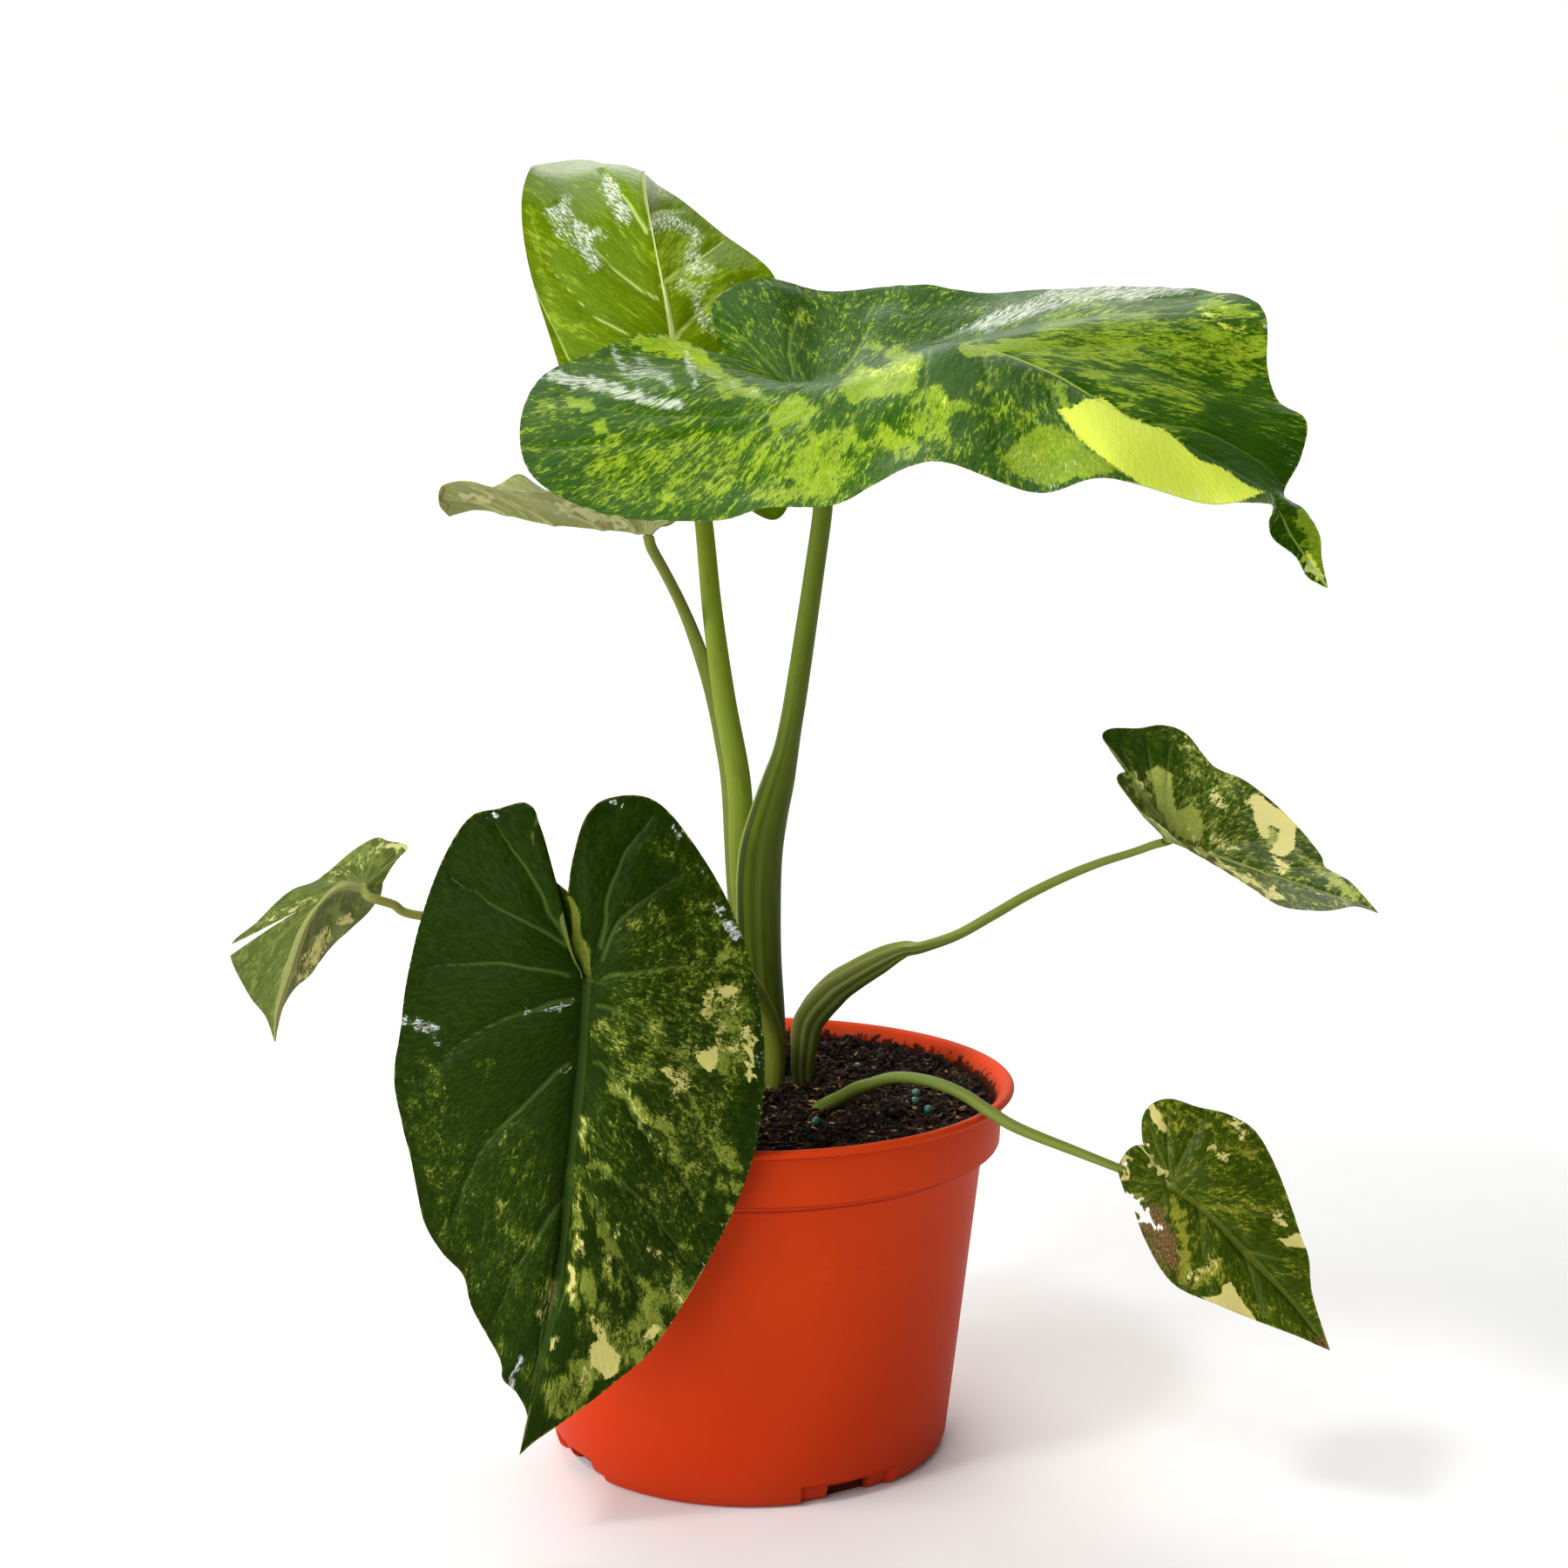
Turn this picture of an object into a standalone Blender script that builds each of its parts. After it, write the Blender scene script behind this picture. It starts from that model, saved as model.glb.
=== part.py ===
"""A marbled heart-leaved philodendron in its orange nursery pot.

The origin is the middle of the pot's flat underside. +Z is up and the plant is seen from -Y.
Every size and place below is in millimetres, and MM turns it into metres.
"""
import math

import bmesh
import bpy
from mathutils import Vector
from mathutils.bvhtree import BVHTree

MM = 0.001
GAP = 0.35              # clearance between pieces that touch on the real plant
FACET_SAG = 0.15        # how far the middle of a facet lies inside its circle

# Pot: a round moulded pot with a collar, a rolled lip and four drainage recesses
LIP_RADIUS = 85
POT_HEIGHT = 119
COLLAR_RADIUS = 80.5
COLLAR_FOOT = 101       # height at which the collar starts
BODY_TOP_RADIUS = 75.4  # under the collar
BODY_FOOT_RADIUS = 63.6
WALL = 1.7
FLOOR = 2
POT_SEGMENTS = 48
RECESS_HEIGHT = 6.3
RECESS_SHELF = 0.7      # the slope at the top of a recess
RECESS_DEPTH = 2
RECESS_HALF_WIDTH = 16
FIRST_RECESS = -60      # degrees from +X, then one every quarter turn
SLOT_WIDTH = 15
SLOT_HIGH = 5.2
SLOT_INNER_RADIUS = 57

# Soil: a filled, slightly lumpy bed with two plain wells
SOIL_TOP = 110.5
CROWN_PLACE = (4, 33)
CROWN_RADIUS = 19
CROWN_TOP = 107.4
WELL_FLOOR = 96
SIDE_WELL_PLACE = (23.1, -5.8)
SIDE_WELL_RADIUS = 5
SIDE_WELL_FLOOR = 103.5
PRILL_RADIUS = 1.7
PRILL_PLACES = [(21, -27), (54, 7), (53, -3), (57, -11), (36, 44)]

# Leaf blades
BLADE = 0.8             # thickness of a blade

# Each blade is drawn in its own frame: along the midrib from the place where the petiole joins,
# out to the side, and lift on the side of its upper face. The rib and both margins are lists of
# (along, out, lift), and a margin starts in the notch between the lobes and ends at the tip.
# Places on them are counted in points. veins pairs places on the margin with places on the rib
# that a vein joins: the first two give the fan of veins that start at the petiole. rows counts
# the mesh lines in the web between the lobes, in that fan and along the rib. swell says how far
# the blade arches above a straight vein at the lobe, at the shoulder and near the tip.
LEAVES = {
    "leaf_front": dict(
        hub=(-45, -92, 172), tip_dir=(-0.15, 0.01, -0.99), face_dir=(-0.02, -1, 0), rows=(2, 13, 14),
        columns=4,
        rib=[(26, 2, 1), (57, 3, 2), (92, 4, 1), (145, 0, -1)],
        left=[(-24, -9, -1), (-34, -9, -2), (-46, -7, -3), (-52, -1, -5), (-53, 11, -6), (-43, 23.5, -6),
              (-24, 38.4, -5), (2, 50, -4), (35, 55, -2), (66, 50, -2), (103, 36, -2), (119, 24, -1),
              (134, 10, -1), (140, 4, -1)],
        right=[(-24, 9, -1), (-28, 15, -2), (-37, 21, -3), (-44, 21, -4), (-47, 25, -4), (-44, 32, -5),
               (-40, 40, -6), (-27, 46, -7), (-9, 50, -7), (11, 52, -8), (25, 52, -9), (40, 52, -9),
               (53, 48, -9), (68, 42, -8), (80, 38, -7), (89, 31, -6), (95, 24, -6), (104, 20, -5),
               (117, 10, -3), (123, 8, -2), (127, 3, -2), (134, -1, -1)],
        left_veins=((1, 0), (7, 0), (9, 1), (10, 2), (14, 4)),
        right_veins=((1, 0), (9, 0), (14, 0.9), (17, 2.2), (22, 4)),
        left_swell=(3, 6, 4), right_swell=(3, 6, 4)),
    "leaf_top": dict(
        hub=(19, 10, 337), tip_dir=(0.87, -0.5, 0), face_dir=(0, 0, 1), rows=(2, 13, 26), columns=6,
        rib=[(25, -6, 4), (53, -9, 15), (84, -12, 8), (113, -11, -7), (129, -9, -16), (151, -1, -29),
             (159, 0, -41), (169, 2, -55)],
        left=[(-10, -3, -4), (-20, 2, 3), (-37, 11, 12), (-47, 19, 22), (-52, 30, 32), (-45, 49, 39),
              (-30, 66, 35), (-5, 82, 37), (22, 93, 34), (58, 98, 36), (97, 85, 33), (124, 66, 27),
              (132, 51, 8), (138, 44, -2), (148, 41, -8), (150, 31, -19), (150, 17, -29), (158, 11, -33),
              (164, 8, -40), (166, 5, -47)],
        right=[(-10, 3, -4), (-20, 0, 3), (-35, 0, 13), (-55, 6, 19), (-68, 22, 13), (-72, 44, 5),
               (-60, 72, -10), (-43, 88, -25), (-17, 88, -35), (15, 83, -36), (31, 81, -32), (51, 78, -31),
               (63, 75, -25), (73, 73, -20), (84, 71, -19), (107, 63, -27), (123, 53, -23), (144, 35, -30),
               (152, 26, -30), (159, 17, -31), (156, 12, -36), (156, 8, -41), (161, 3, -46), (164, 1, -52)],
        left_veins=((1, 0), (6, 0), (14, 3), (16, 6), (20, 8)),
        right_veins=((1, 0), (7, 0), (15, 3), (19, 6), (24, 8)),
        left_swell=(-2, -4, 2), right_swell=(2, 12, 4)),
    "leaf_back": dict(
        hub=(-21, 62, 324), tip_dir=(-0.1, 0.5, 0.86), face_dir=(0, -0.86, 0.51), rows=(2, 11, 14),
        columns=4,
        rib=[(30, 2, 13), (53, 4, 19), (78, 6, 19), (94, 6, 13), (108, 6, -3), (119, 8, -27)],
        left=[(-9, -4, -3), (-21, 2, -7), (-29, 10, -9), (-25, 23, -5), (-8, 33, 2), (10, 38, 7),
              (29, 42, 12), (58, 48, 19), (81, 49, 21), (99, 46, 15), (114, 42, -2), (125, 24, -18)],
        right=[(-9, 4, -3), (-19, 10, -6), (-29, 25, -11), (-19, 33, -14), (1, 38, -9), (25, 39, -4),
               (48, 36, 0), (60, 33, 3), (77, 18, 2), (91, 6, 2), (102, -2, -3), (113, -6, -12)],
        left_veins=((1, 0), (5, 0), (9, 1.6), (12, 6)),
        right_veins=((1, 0), (5, 0), (8, 1.8), (10, 3), (12, 6)),
        left_swell=(2, 4, 2), right_swell=(2, 3, 1)),
    "leaf_left": dict(
        hub=(-33, 28, 293), tip_dir=(-1, 0.05, 0), face_dir=(0, 0, 1), rows=(1, 7, 9), columns=3,
        rib=[(13, 0, 1), (27, -1, 3), (41, -1, 5), (55, -1, 8), (65, -1, 5)],
        left=[(-4, 2, 2), (-9, 8, 4), (-12, 17, 9), (-7, 26, 15), (4, 30, 16), (14, 31, 15), (26, 29, 14),
              (37, 28, 14), (46, 24, 15), (56, 19, 17), (65, 11, 15), (67, 5, 9)],
        right=[(-4, -2, 2), (-8, 6, 5), (-6, 13, 9), (4, 19, 13), (16, 22, 13), (28, 23, 12), (37, 24, 13),
               (45, 24, 18), (51, 21, 15), (57, 16, 12), (63, 11, 9), (67, 5, 8)],
        left_veins=((1, 0), (4, 0), (8, 2), (12, 5)), right_veins=((1, 0), (4, 0), (8, 2), (12, 5)),
        left_swell=(1, 2, 1), right_swell=(1, 2, 1)),
    "leaf_low_left": dict(
        hub=(-124, 5, 180), tip_dir=(-0.51, 0.02, -0.86), face_dir=(-0.35, 0.91, 0.23), rows=(1, 8, 12),
        columns=3,
        rib=[(1, 7, -2), (7, 11, -3), (18, 12, -3), (33, 9, -2), (48, 5, -1), (59, 0, 0)],
        left=[(-4, -5, 1), (-11, -7, 5), (-16, -10, 10), (-14, -5, 14), (-12, -2, 18), (-4, 3, 18),
              (8, 8, 17), (16, 15, 17), (30, 19, 18), (42, 22, 19), (51, 12, 12), (54, 5, 5)],
        right=[(-4, 5, 1), (1, 8, 4), (5, 10, 10), (9, 11, 13), (13, 11, 15), (20, 9, 16), (26, 7, 16),
               (32, 5, 14), (38, 4, 13), (43, 1, 11), (49, -1, 7), (55, -1, 2)],
        left_veins=((1, 0), (5, 0), (9, 2), (12, 6)), right_veins=((1, 0), (4, 0), (8, 2), (12, 6)),
        left_swell=(1, 2, 1), right_swell=(1, 2, 1), tear=dict(side="left", row=13, spread=0.18, start=0.1)),
    "leaf_right": dict(
        hub=(133, -5, 198), tip_dir=(0.68, -0.72, -0.16), face_dir=(-0.44, -0.57, 0.7), rows=(2, 9, 12),
        columns=3,
        rib=[(13, -1, 1), (29, -1, 3), (49, -1, 3), (65, 0, 2), (79, 0, 0)],
        left=[(-20, 12, 12), (-26, 15, 14), (-33, 18, 17), (-34, 23, 15), (-29, 29, 10), (-23, 34, 8),
              (-15, 35, 5), (-2, 29, 1), (9, 29, -1), (22, 26, -4), (35, 21, -6), (45, 16, -8), (50, 12, -7),
              (63, 8, -3)],
        right=[(-20, -12, 12), (-20, -8, 15), (-16, -4, 18), (-9, 0, 20), (1, 5, 22), (13, 9, 25),
               (26, 13, 24), (38, 15, 24), (52, 17, 22), (63, 18, 19), (73, 12, 14), (77, 5, 9)],
        left_veins=((1, 0), (6, 0), (10, 1.5), (14, 5)), right_veins=((1, 0), (5, 0), (8, 1.5), (12, 5)),
        left_swell=(2, 2, 1), right_swell=(1, 2, 1)),
    "leaf_low_right": dict(
        hub=(125.5, -72, 105), tip_dir=(0.69, -0.21, -0.69), face_dir=(0.11, -0.91, 0.39), rows=(2, 8, 10),
        columns=3,
        rib=[(13, 2, 1), (29, 2, 1), (47, 2, 1), (66, 0, 0)],
        left=[(-14, 3, 0), (-16, 4, 0), (-20, 8, 1), (-21, 13, 2), (-18, 18, 3), (-11, 22, 3), (-3, 27, 4),
              (6, 29, 5), (17, 26, 5), (28, 21, 5), (37, 17, 3), (43, 14, 3), (51, 7, 3)],
        right=[(-14, -3, 0), (-16, 0, 0), (-16, 4, 0), (-14, 8, -1), (-8, 11, -2), (-2, 13, -2), (5, 16, -3),
               (15, 19, -3), (23, 19, -3), (33, 15, -1), (44, 10, -1), (57, 4, 1)],
        left_veins=((1, 0), (7, 0), (10, 1.3), (13, 4)), right_veins=((1, 0), (6, 0), (9, 1.2), (12, 4)),
        left_swell=(1, 3, 2), right_swell=(1, 2, 1)),
}

# Petioles: stations of (x, y, z, half width, depth below, crown above). A crown below zero makes
# the trough of the sheath. top_dir is the side that the trough or the flat faces.
PETIOLES = {
    "petiole_top": dict(
        leaf="leaf_top", top_dir=(-0.35, 0.94, 0), samples=24,
        path=[(5, 33, 107.8, 6.5, 4.5, -2), (5, 32, 127, 6.8, 4.5, -2.5), (3, 31, 152, 7.5, 4.5, -3),
              (2.5, 30, 173, 7.9, 4.5, -3), (3.3, 29, 188, 7.7, 4.4, -3), (6, 27.5, 201, 6.7, 4.2, -2.5),
              (9, 26, 212, 5.7, 4, -1.2), (11.3, 25, 221, 4.5, 3.9, 0.8), (13, 24, 230, 3.9, 3.7, 2),
              (15.3, 22.5, 244, 3.7, 3.6, 2.2), (20.5, 17.5, 280, 3.3, 3.4, 2.4),
              (23.5, 13.5, 304, 3.2, 3.3, 2.4), (23, 11, 321, 3.2, 3.2, 2.4), (20, 10, 330, 3, 3, 2.4)]),
    "petiole_back": dict(
        leaf="leaf_back", top_dir=(0, -1, 0.2), samples=16,
        path=[(1, 40.5, 107.8, 4.2, 4, 2.5), (-0.5, 42, 149, 4.2, 4, 2.5), (-3, 41, 179, 4.2, 4, 2.5),
              (-4, 43, 208, 4.1, 3.9, 2.5), (-9, 47, 237, 3.8, 3.6, 2.4), (-13, 52, 266, 3.4, 3.3, 2.3),
              (-16, 60, 295, 3.1, 3, 2.2), (-19, 66, 310, 2.9, 2.8, 2.1), (-21, 67, 320, 2.7, 2.6, 2.1)]),
    "petiole_left": dict(
        leaf="leaf_left", top_dir=(-0.4, -0.9, 0.2), samples=15,
        path=[(-2.6, 46.2, 107.8, 3, 2.8, 1), (-4, 48, 148, 3, 2.8, 1), (-6, 49, 178, 3, 2.7, 1),
              (-7.5, 50.3, 207, 3, 2.6, 0.5), (-10, 52.3, 223, 2.9, 2.5, 0.4),
              (-12.7, 53.3, 236, 2.8, 2.4, 0.4), (-16, 52, 248, 2.6, 2.3, 1),
              (-19.7, 50.5, 259, 2.3, 2.1, 1.3), (-23.7, 45.5, 269.4, 2, 2, 1.5),
              (-28.4, 37, 280, 1.9, 1.9, 1.5), (-32, 31, 287.5, 1.9, 1.9, 1.5)]),
    "petiole_front": dict(
        leaf="leaf_front", top_dir=(0.3, 0.2, 0.9), samples=15,
        path=[(8, 21, 107.8, 3.8, 3.2, 1), (8, 16, 129, 4, 3.2, 1), (3, 8, 145, 3.8, 3.2, 1),
              (-7, -10, 163, 3.2, 3, 1.5), (-21, -36, 176, 2.7, 2.7, 2), (-35, -64, 179, 2.5, 2.5, 2),
              (-43, -82, 174, 2.3, 2.3, 1.8)]),
    "petiole_low_left": dict(
        leaf="leaf_low_left", top_dir=(0.2, 0.5, 0.8), samples=15,
        path=[(-5, 25, 107.8, 2.4, 2.4, 1.4), (-12, 20, 135, 2.2, 2.2, 1.4), (-35, 13, 160, 1.9, 1.9, 1.4),
              (-70, 8, 168, 1.7, 1.7, 1.3), (-106, 2, 172, 1.6, 1.6, 1.3), (-114, 0, 176, 1.6, 1.6, 1.3),
              (-121, -1, 178.5, 1.6, 1.6, 1.3)]),
    "petiole_right": dict(
        leaf="leaf_right", top_dir=(-0.75, 0.1, 0.65), samples=18,
        path=[(15.2, 28, 107.8, 4, 5.5, -2), (14, 27, 120, 4.2, 7.8, -3.5), (15, 26, 134, 4.4, 10.2, -5.5),
              (23, 24, 145, 4.4, 10.4, -6.5), (31, 21, 151, 4.2, 9.2, -5.5), (41, 17, 157, 3.6, 7.8, -3.5),
              (49, 14, 160, 2.7, 5.2, -1), (56, 12, 160.5, 2.1, 3, 0.8), (67, 10, 164, 1.9, 1.9, 1.5),
              (78, 7, 171, 1.9, 1.9, 1.5), (89, 5, 178, 1.8, 1.8, 1.5), (100, 3, 184, 1.7, 1.7, 1.4),
              (111, 1, 189, 1.5, 1.5, 1.3), (122, -1, 193, 1.4, 1.4, 1.2), (129, -3, 196, 1.5, 1.5, 1.2)]),
    "petiole_low_right": dict(
        leaf="leaf_low_right", top_dir=(0.3, -0.3, 0.9), samples=18,
        path=[(22.2, -4.6, 104, 2.8, 2.4, 1.2), (22.8, -5.4, 108, 3.3, 2.6, 1.2), (24.5, -8, 113, 3.6, 3, 1),
              (28, -12, 117, 3.7, 3.2, 0.6), (33, -16.5, 121, 3.5, 3.2, 0.4), (38, -22, 124, 3, 3, 0.6),
              (45, -29, 127, 2.2, 2.2, 1.4), (52, -36, 128.3, 2, 2, 1.6), (59, -42, 128, 2, 2, 1.6),
              (66, -47, 126, 2, 2, 1.6), (74, -53, 122, 2, 2, 1.6), (82, -58, 118.5, 1.9, 1.9, 1.5),
              (99, -64, 113, 1.6, 1.6, 1.3), (110, -66, 109, 1.4, 1.4, 1.2),
              (119, -67, 105.5, 1.4, 1.4, 1.2), (124, -68.5, 103.3, 1.4, 1.4, 1.2)]),
}


def clear_scene():
    for item in list(bpy.data.objects):
        bpy.data.objects.remove(item, do_unlink=True)


def make_material(name, colour, roughness):
    material = bpy.data.materials.new(name)
    material.use_nodes = True
    shader = material.node_tree.nodes["Principled BSDF"]
    shader.inputs["Base Color"].default_value = (*colour, 1)
    shader.inputs["Roughness"].default_value = roughness
    shader.inputs["Metallic"].default_value = 0
    return material


def add_object(name, points, faces, material):
    """Make an object from points in millimetres."""
    mesh = bpy.data.meshes.new(name)
    mesh.from_pydata([Vector(point) * MM for point in points], [], faces)
    mesh.shade_smooth()
    mesh.set_sharp_from_angle(angle=math.radians(40))
    mesh.materials.append(material)
    item = bpy.data.objects.new(name, mesh)
    bpy.context.collection.objects.link(item)
    return item


def on_curve(points, place):
    """The smooth curve through points of any dimension, read at a place counted in points."""
    last = len(points) - 1
    start = min(int(place), last - 1)
    part = place - start
    before = points[start - 1] if start > 0 else mirrored(points[1], points[0])
    after = points[start + 2] if start + 2 <= last else mirrored(points[last - 1], points[last])
    result = []
    for a, b, c, d in zip(before, points[start], points[start + 1], after):
        bend = 2 * a - 5 * b + 4 * c - d + part * (3 * (b - c) + d - a)
        result.append(b + 0.5 * part * (c - a + part * bend))
    return tuple(result)


def mirrored(point, centre):
    return tuple(2 * c - p for p, c in zip(point, centre))


# Leaf blades

def leaf_axes(leaf):
    along = Vector(leaf["tip_dir"]).normalized()
    face = Vector(leaf["face_dir"])
    face = (face - along * face.dot(along)).normalized()
    return along, face.cross(along), face


def read_stops(stops, place):
    """The value at a place among (place, value) stops, joined by straight lines."""
    for (x0, y0), (x1, y1) in zip(stops, stops[1:]):
        if place <= x1:
            return y0 + (y1 - y0) * (place - x0) / (x1 - x0)
    return stops[-1][1]


def margin_of(leaf, side):
    """A half's margin with its tip, out to the left above zero and to the right below it."""
    sign = 1 if side == "left" else -1
    return [(along, sign * out, lift) for along, out, lift in leaf[side]] + [leaf["rib"][-1]]


def vein_ends(leaf, side, row):
    """The two ends of a mesh line, counted in margin points and in rib points."""
    veins = leaf[side + "_veins"]
    web_rows, fan_rows, rib_rows = leaf["rows"]
    fan_row = web_rows + fan_rows
    if row <= fan_row:
        return read_stops([(0, 0), (web_rows, veins[0][0]), (fan_row, veins[1][0])], row), 0
    rib_place = (row - fan_row) / rib_rows * len(leaf["rib"])
    return read_stops([(rib, margin) for margin, rib in veins[1:]], rib_place), rib_place


def inner_end(leaf, side, place, rib_place):
    """Where a mesh line starts: on the web between the lobes, at the petiole or on the rib."""
    fan_start = leaf[side + "_veins"][0][0]
    if place < fan_start:
        return Vector(margin_of(leaf, side)[0]) * (1 - place / fan_start)
    return Vector(on_curve([(0, 0, 0)] + leaf["rib"], rib_place))


def swell_at(leaf, side, place):
    """How far the middle of a mesh line stands above a straight one."""
    lobe, shoulder, tip = leaf[side + "_swell"]
    fan_end = leaf[side + "_veins"][1][0]
    last = leaf[side + "_veins"][-1][0]
    near_tip = (fan_end + last) / 2
    stops = [(0, 0), (fan_end / 2, lobe), (fan_end, shoulder), (near_tip, tip), (last, 0)]
    return read_stops(stops, place)


def blade_point(leaf, side, place, rib_place, part, lip=0):
    """A point on a mesh line, which arches most at a third of its length.

    lip shifts the line's outer end along the margin.
    """
    inner = inner_end(leaf, side, place, rib_place)
    outer = Vector(on_curve(margin_of(leaf, side), place + lip))
    point = inner.lerp(outer, part)
    full_at_third = 6.75
    point.z += swell_at(leaf, side, place) * full_at_third * part * (1 - part) ** 2
    return point


def mesh_lines(leaf, side):
    """A half's mesh lines as pairs: the same line twice, or the two lips of the tear."""
    tear = leaf.get("tear", dict(side=None))
    columns = leaf["columns"]
    pairs = []
    for row in range(sum(leaf["rows"]) + 1):
        place, rib_place = vein_ends(leaf, side, row)
        torn = side == tear["side"] and row == tear["row"]
        pair = []
        for direction in (-1, 1):
            line = []
            for column in range(columns + 1):
                part = column / columns
                lip = 0
                if torn:
                    lip = direction * tear["spread"] * max(0, part - tear["start"])
                line.append(blade_point(leaf, side, place, rib_place, part, lip))
            pair.append(line)
        pairs.append(pair)
    return pairs


def blade_surface(leaf):
    """The upper face of a blade as points and triangles, both halves sharing the rib."""
    along, left, face = leaf_axes(leaf)
    hub = Vector(leaf["hub"])
    points = []
    numbers = {}
    triangles = []

    def number_of(local):
        key = tuple(round(c, 3) for c in local)
        if key not in numbers:
            numbers[key] = len(points)
            points.append(hub + along * local.x + left * local.y + face * local.z)
        return numbers[key]

    for side in ("left", "right"):
        pairs = [[[number_of(point) for point in line] for line in pair] for pair in mesh_lines(leaf, side)]
        for (_, back), (front, _) in zip(pairs, pairs[1:]):
            for c in range(leaf["columns"]):
                for corners in ((back[c], front[c], front[c + 1]), (back[c], front[c + 1], back[c + 1])):
                    if len(set(corners)) == 3:
                        triangles.append(corners if side == "left" else corners[::-1])
    return points, triangles


def add_blade(name, leaf, material):
    """Thicken the upper face downwards into one closed blade."""
    points, triangles = blade_surface(leaf)
    normals = [Vector() for _ in points]
    for a, b, c in triangles:
        normal = (points[b] - points[a]).cross(points[c] - points[a])
        for corner in (a, b, c):
            normals[corner] += normal
    count = len(points)
    lower = [point - normal.normalized() * BLADE for point, normal in zip(points, normals)]
    faces = list(triangles) + [(c + count, b + count, a + count) for a, b, c in triangles]
    edges = {(a, b) for t in triangles for a, b in zip(t, t[1:] + t[:1])}
    for a, b in edges:
        if (b, a) not in edges:
            faces.append((b, a, a + count))
            faces.append((b, a + count, b + count))
    add_object(name, points + lower, faces, material)


# Petioles

def section_points(station, tangent, top_dir):
    """The petiole's cut at one station: round below, crowned or hollowed above."""
    x, y, z, half_width, depth, crown = station
    top = (top_dir - tangent * top_dir.dot(tangent)).normalized()
    side = top.cross(tangent)
    ring = []
    for step in range(12):
        angle = step * math.pi / 6
        height = math.sin(angle) * (crown if step < 6 else depth)
        ring.append(Vector((x, y, z)) + side * math.cos(angle) * half_width + top * height)
    return ring


def petiole_seat(leaf, face, half_width):
    """The middle of the petiole's end under the blade, lower where the blade slopes down."""
    slopes = [0]
    for along, out, lift in (leaf["rib"][0], leaf["left"][0], leaf["right"][0]):
        slopes.append(-lift / math.hypot(along, out))
    return Vector(leaf["hub"]) - face * (BLADE + GAP + max(slopes) * half_width)


def add_petiole(name, petiole, material):
    leaf = LEAVES[petiole["leaf"]]
    face = leaf_axes(leaf)[2]
    path = petiole["path"] + [(*petiole_seat(leaf, face, petiole["path"][-1][3]), *petiole["path"][-1][3:])]
    samples = petiole["samples"]
    stations = [on_curve(path, i * (len(path) - 1) / samples) for i in range(samples + 1)]
    rings = []
    for i, station in enumerate(stations):
        behind = stations[max(i - 1, 0)]
        ahead = stations[min(i + 1, samples)]
        tangent = (Vector(ahead[:3]) - Vector(behind[:3])).normalized()
        if i == 0:
            tangent = Vector((0, 0, 1))
        if i == samples:
            tangent = face
        rings.append(section_points(station, tangent, Vector(petiole["top_dir"])))
    sides = len(rings[0])
    faces = [tuple(reversed(range(sides)))]
    for i in range(samples):
        for k in range(sides):
            a, b = i * sides + k, i * sides + (k + 1) % sides
            faces.append((a, b + sides, a + sides))
            faces.append((a, b, b + sides))
    faces.append(tuple(range(samples * sides, (samples + 1) * sides)))
    add_object(name, [point for ring in rings for point in ring], faces, material)


# Pot

def body_radius(height):
    """The outside of the tapered body, below the collar."""
    return BODY_FOOT_RADIUS + (BODY_TOP_RADIUS - BODY_FOOT_RADIUS) * height / COLLAR_FOOT


def pot_profile():
    """Half the pot's cut, from the middle of its underside, out and up, and down the inside."""
    body_top = COLLAR_FOOT - 4
    shelf = RECESS_HEIGHT + RECESS_SHELF
    inner = [(body_radius(height) - WALL, height) for height in (body_top - 0.5, shelf + 0.8, shelf - 0.2)]
    return [
        (60.2, 0), (62.2, 0.8), (63.5, 2.4), (body_radius(5), 5),
        (body_radius(RECESS_HEIGHT), RECESS_HEIGHT), (body_radius(shelf), shelf),
        (body_radius(body_top), body_top), (76.4, COLLAR_FOOT - 1.5), (79.9, COLLAR_FOOT - 0.7),
        (COLLAR_RADIUS, COLLAR_FOOT), (COLLAR_RADIUS + 0.7, POT_HEIGHT - 2.7),
        (LIP_RADIUS - 0.8, POT_HEIGHT - 2.5), (LIP_RADIUS, POT_HEIGHT - 1.7),
        (LIP_RADIUS - 0.1, POT_HEIGHT - 0.5), (LIP_RADIUS - 0.9, POT_HEIGHT), (82.2, POT_HEIGHT),
        (81.1, POT_HEIGHT - 1), (79.2, POT_HEIGHT - 4), (78.5, COLLAR_FOOT + 1.5), *inner, (60.4, 3.6),
        (58, FLOOR)]


def in_recess(degrees):
    half = math.degrees(math.asin(RECESS_HALF_WIDTH / BODY_FOOT_RADIUS))
    return abs((degrees - FIRST_RECESS + 45) % 90 - 45) < half


def pot_angles():
    """Even steps round the pot, with a pair of close ones at each side of each recess."""
    half = math.degrees(math.asin(RECESS_HALF_WIDTH / BODY_FOOT_RADIUS))
    edges = []
    for turn in range(4):
        for side in (-half, half):
            edges += [FIRST_RECESS + 90 * turn + side - 0.4, FIRST_RECESS + 90 * turn + side + 0.4]
    edges = sorted(edge % 360 for edge in edges)
    even = [i * 360 / POT_SEGMENTS for i in range(POT_SEGMENTS)]
    even = [a for a in even if all(abs((a - e + 180) % 360 - 180) > 2.5 for e in edges)]
    return sorted(even + edges)


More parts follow.
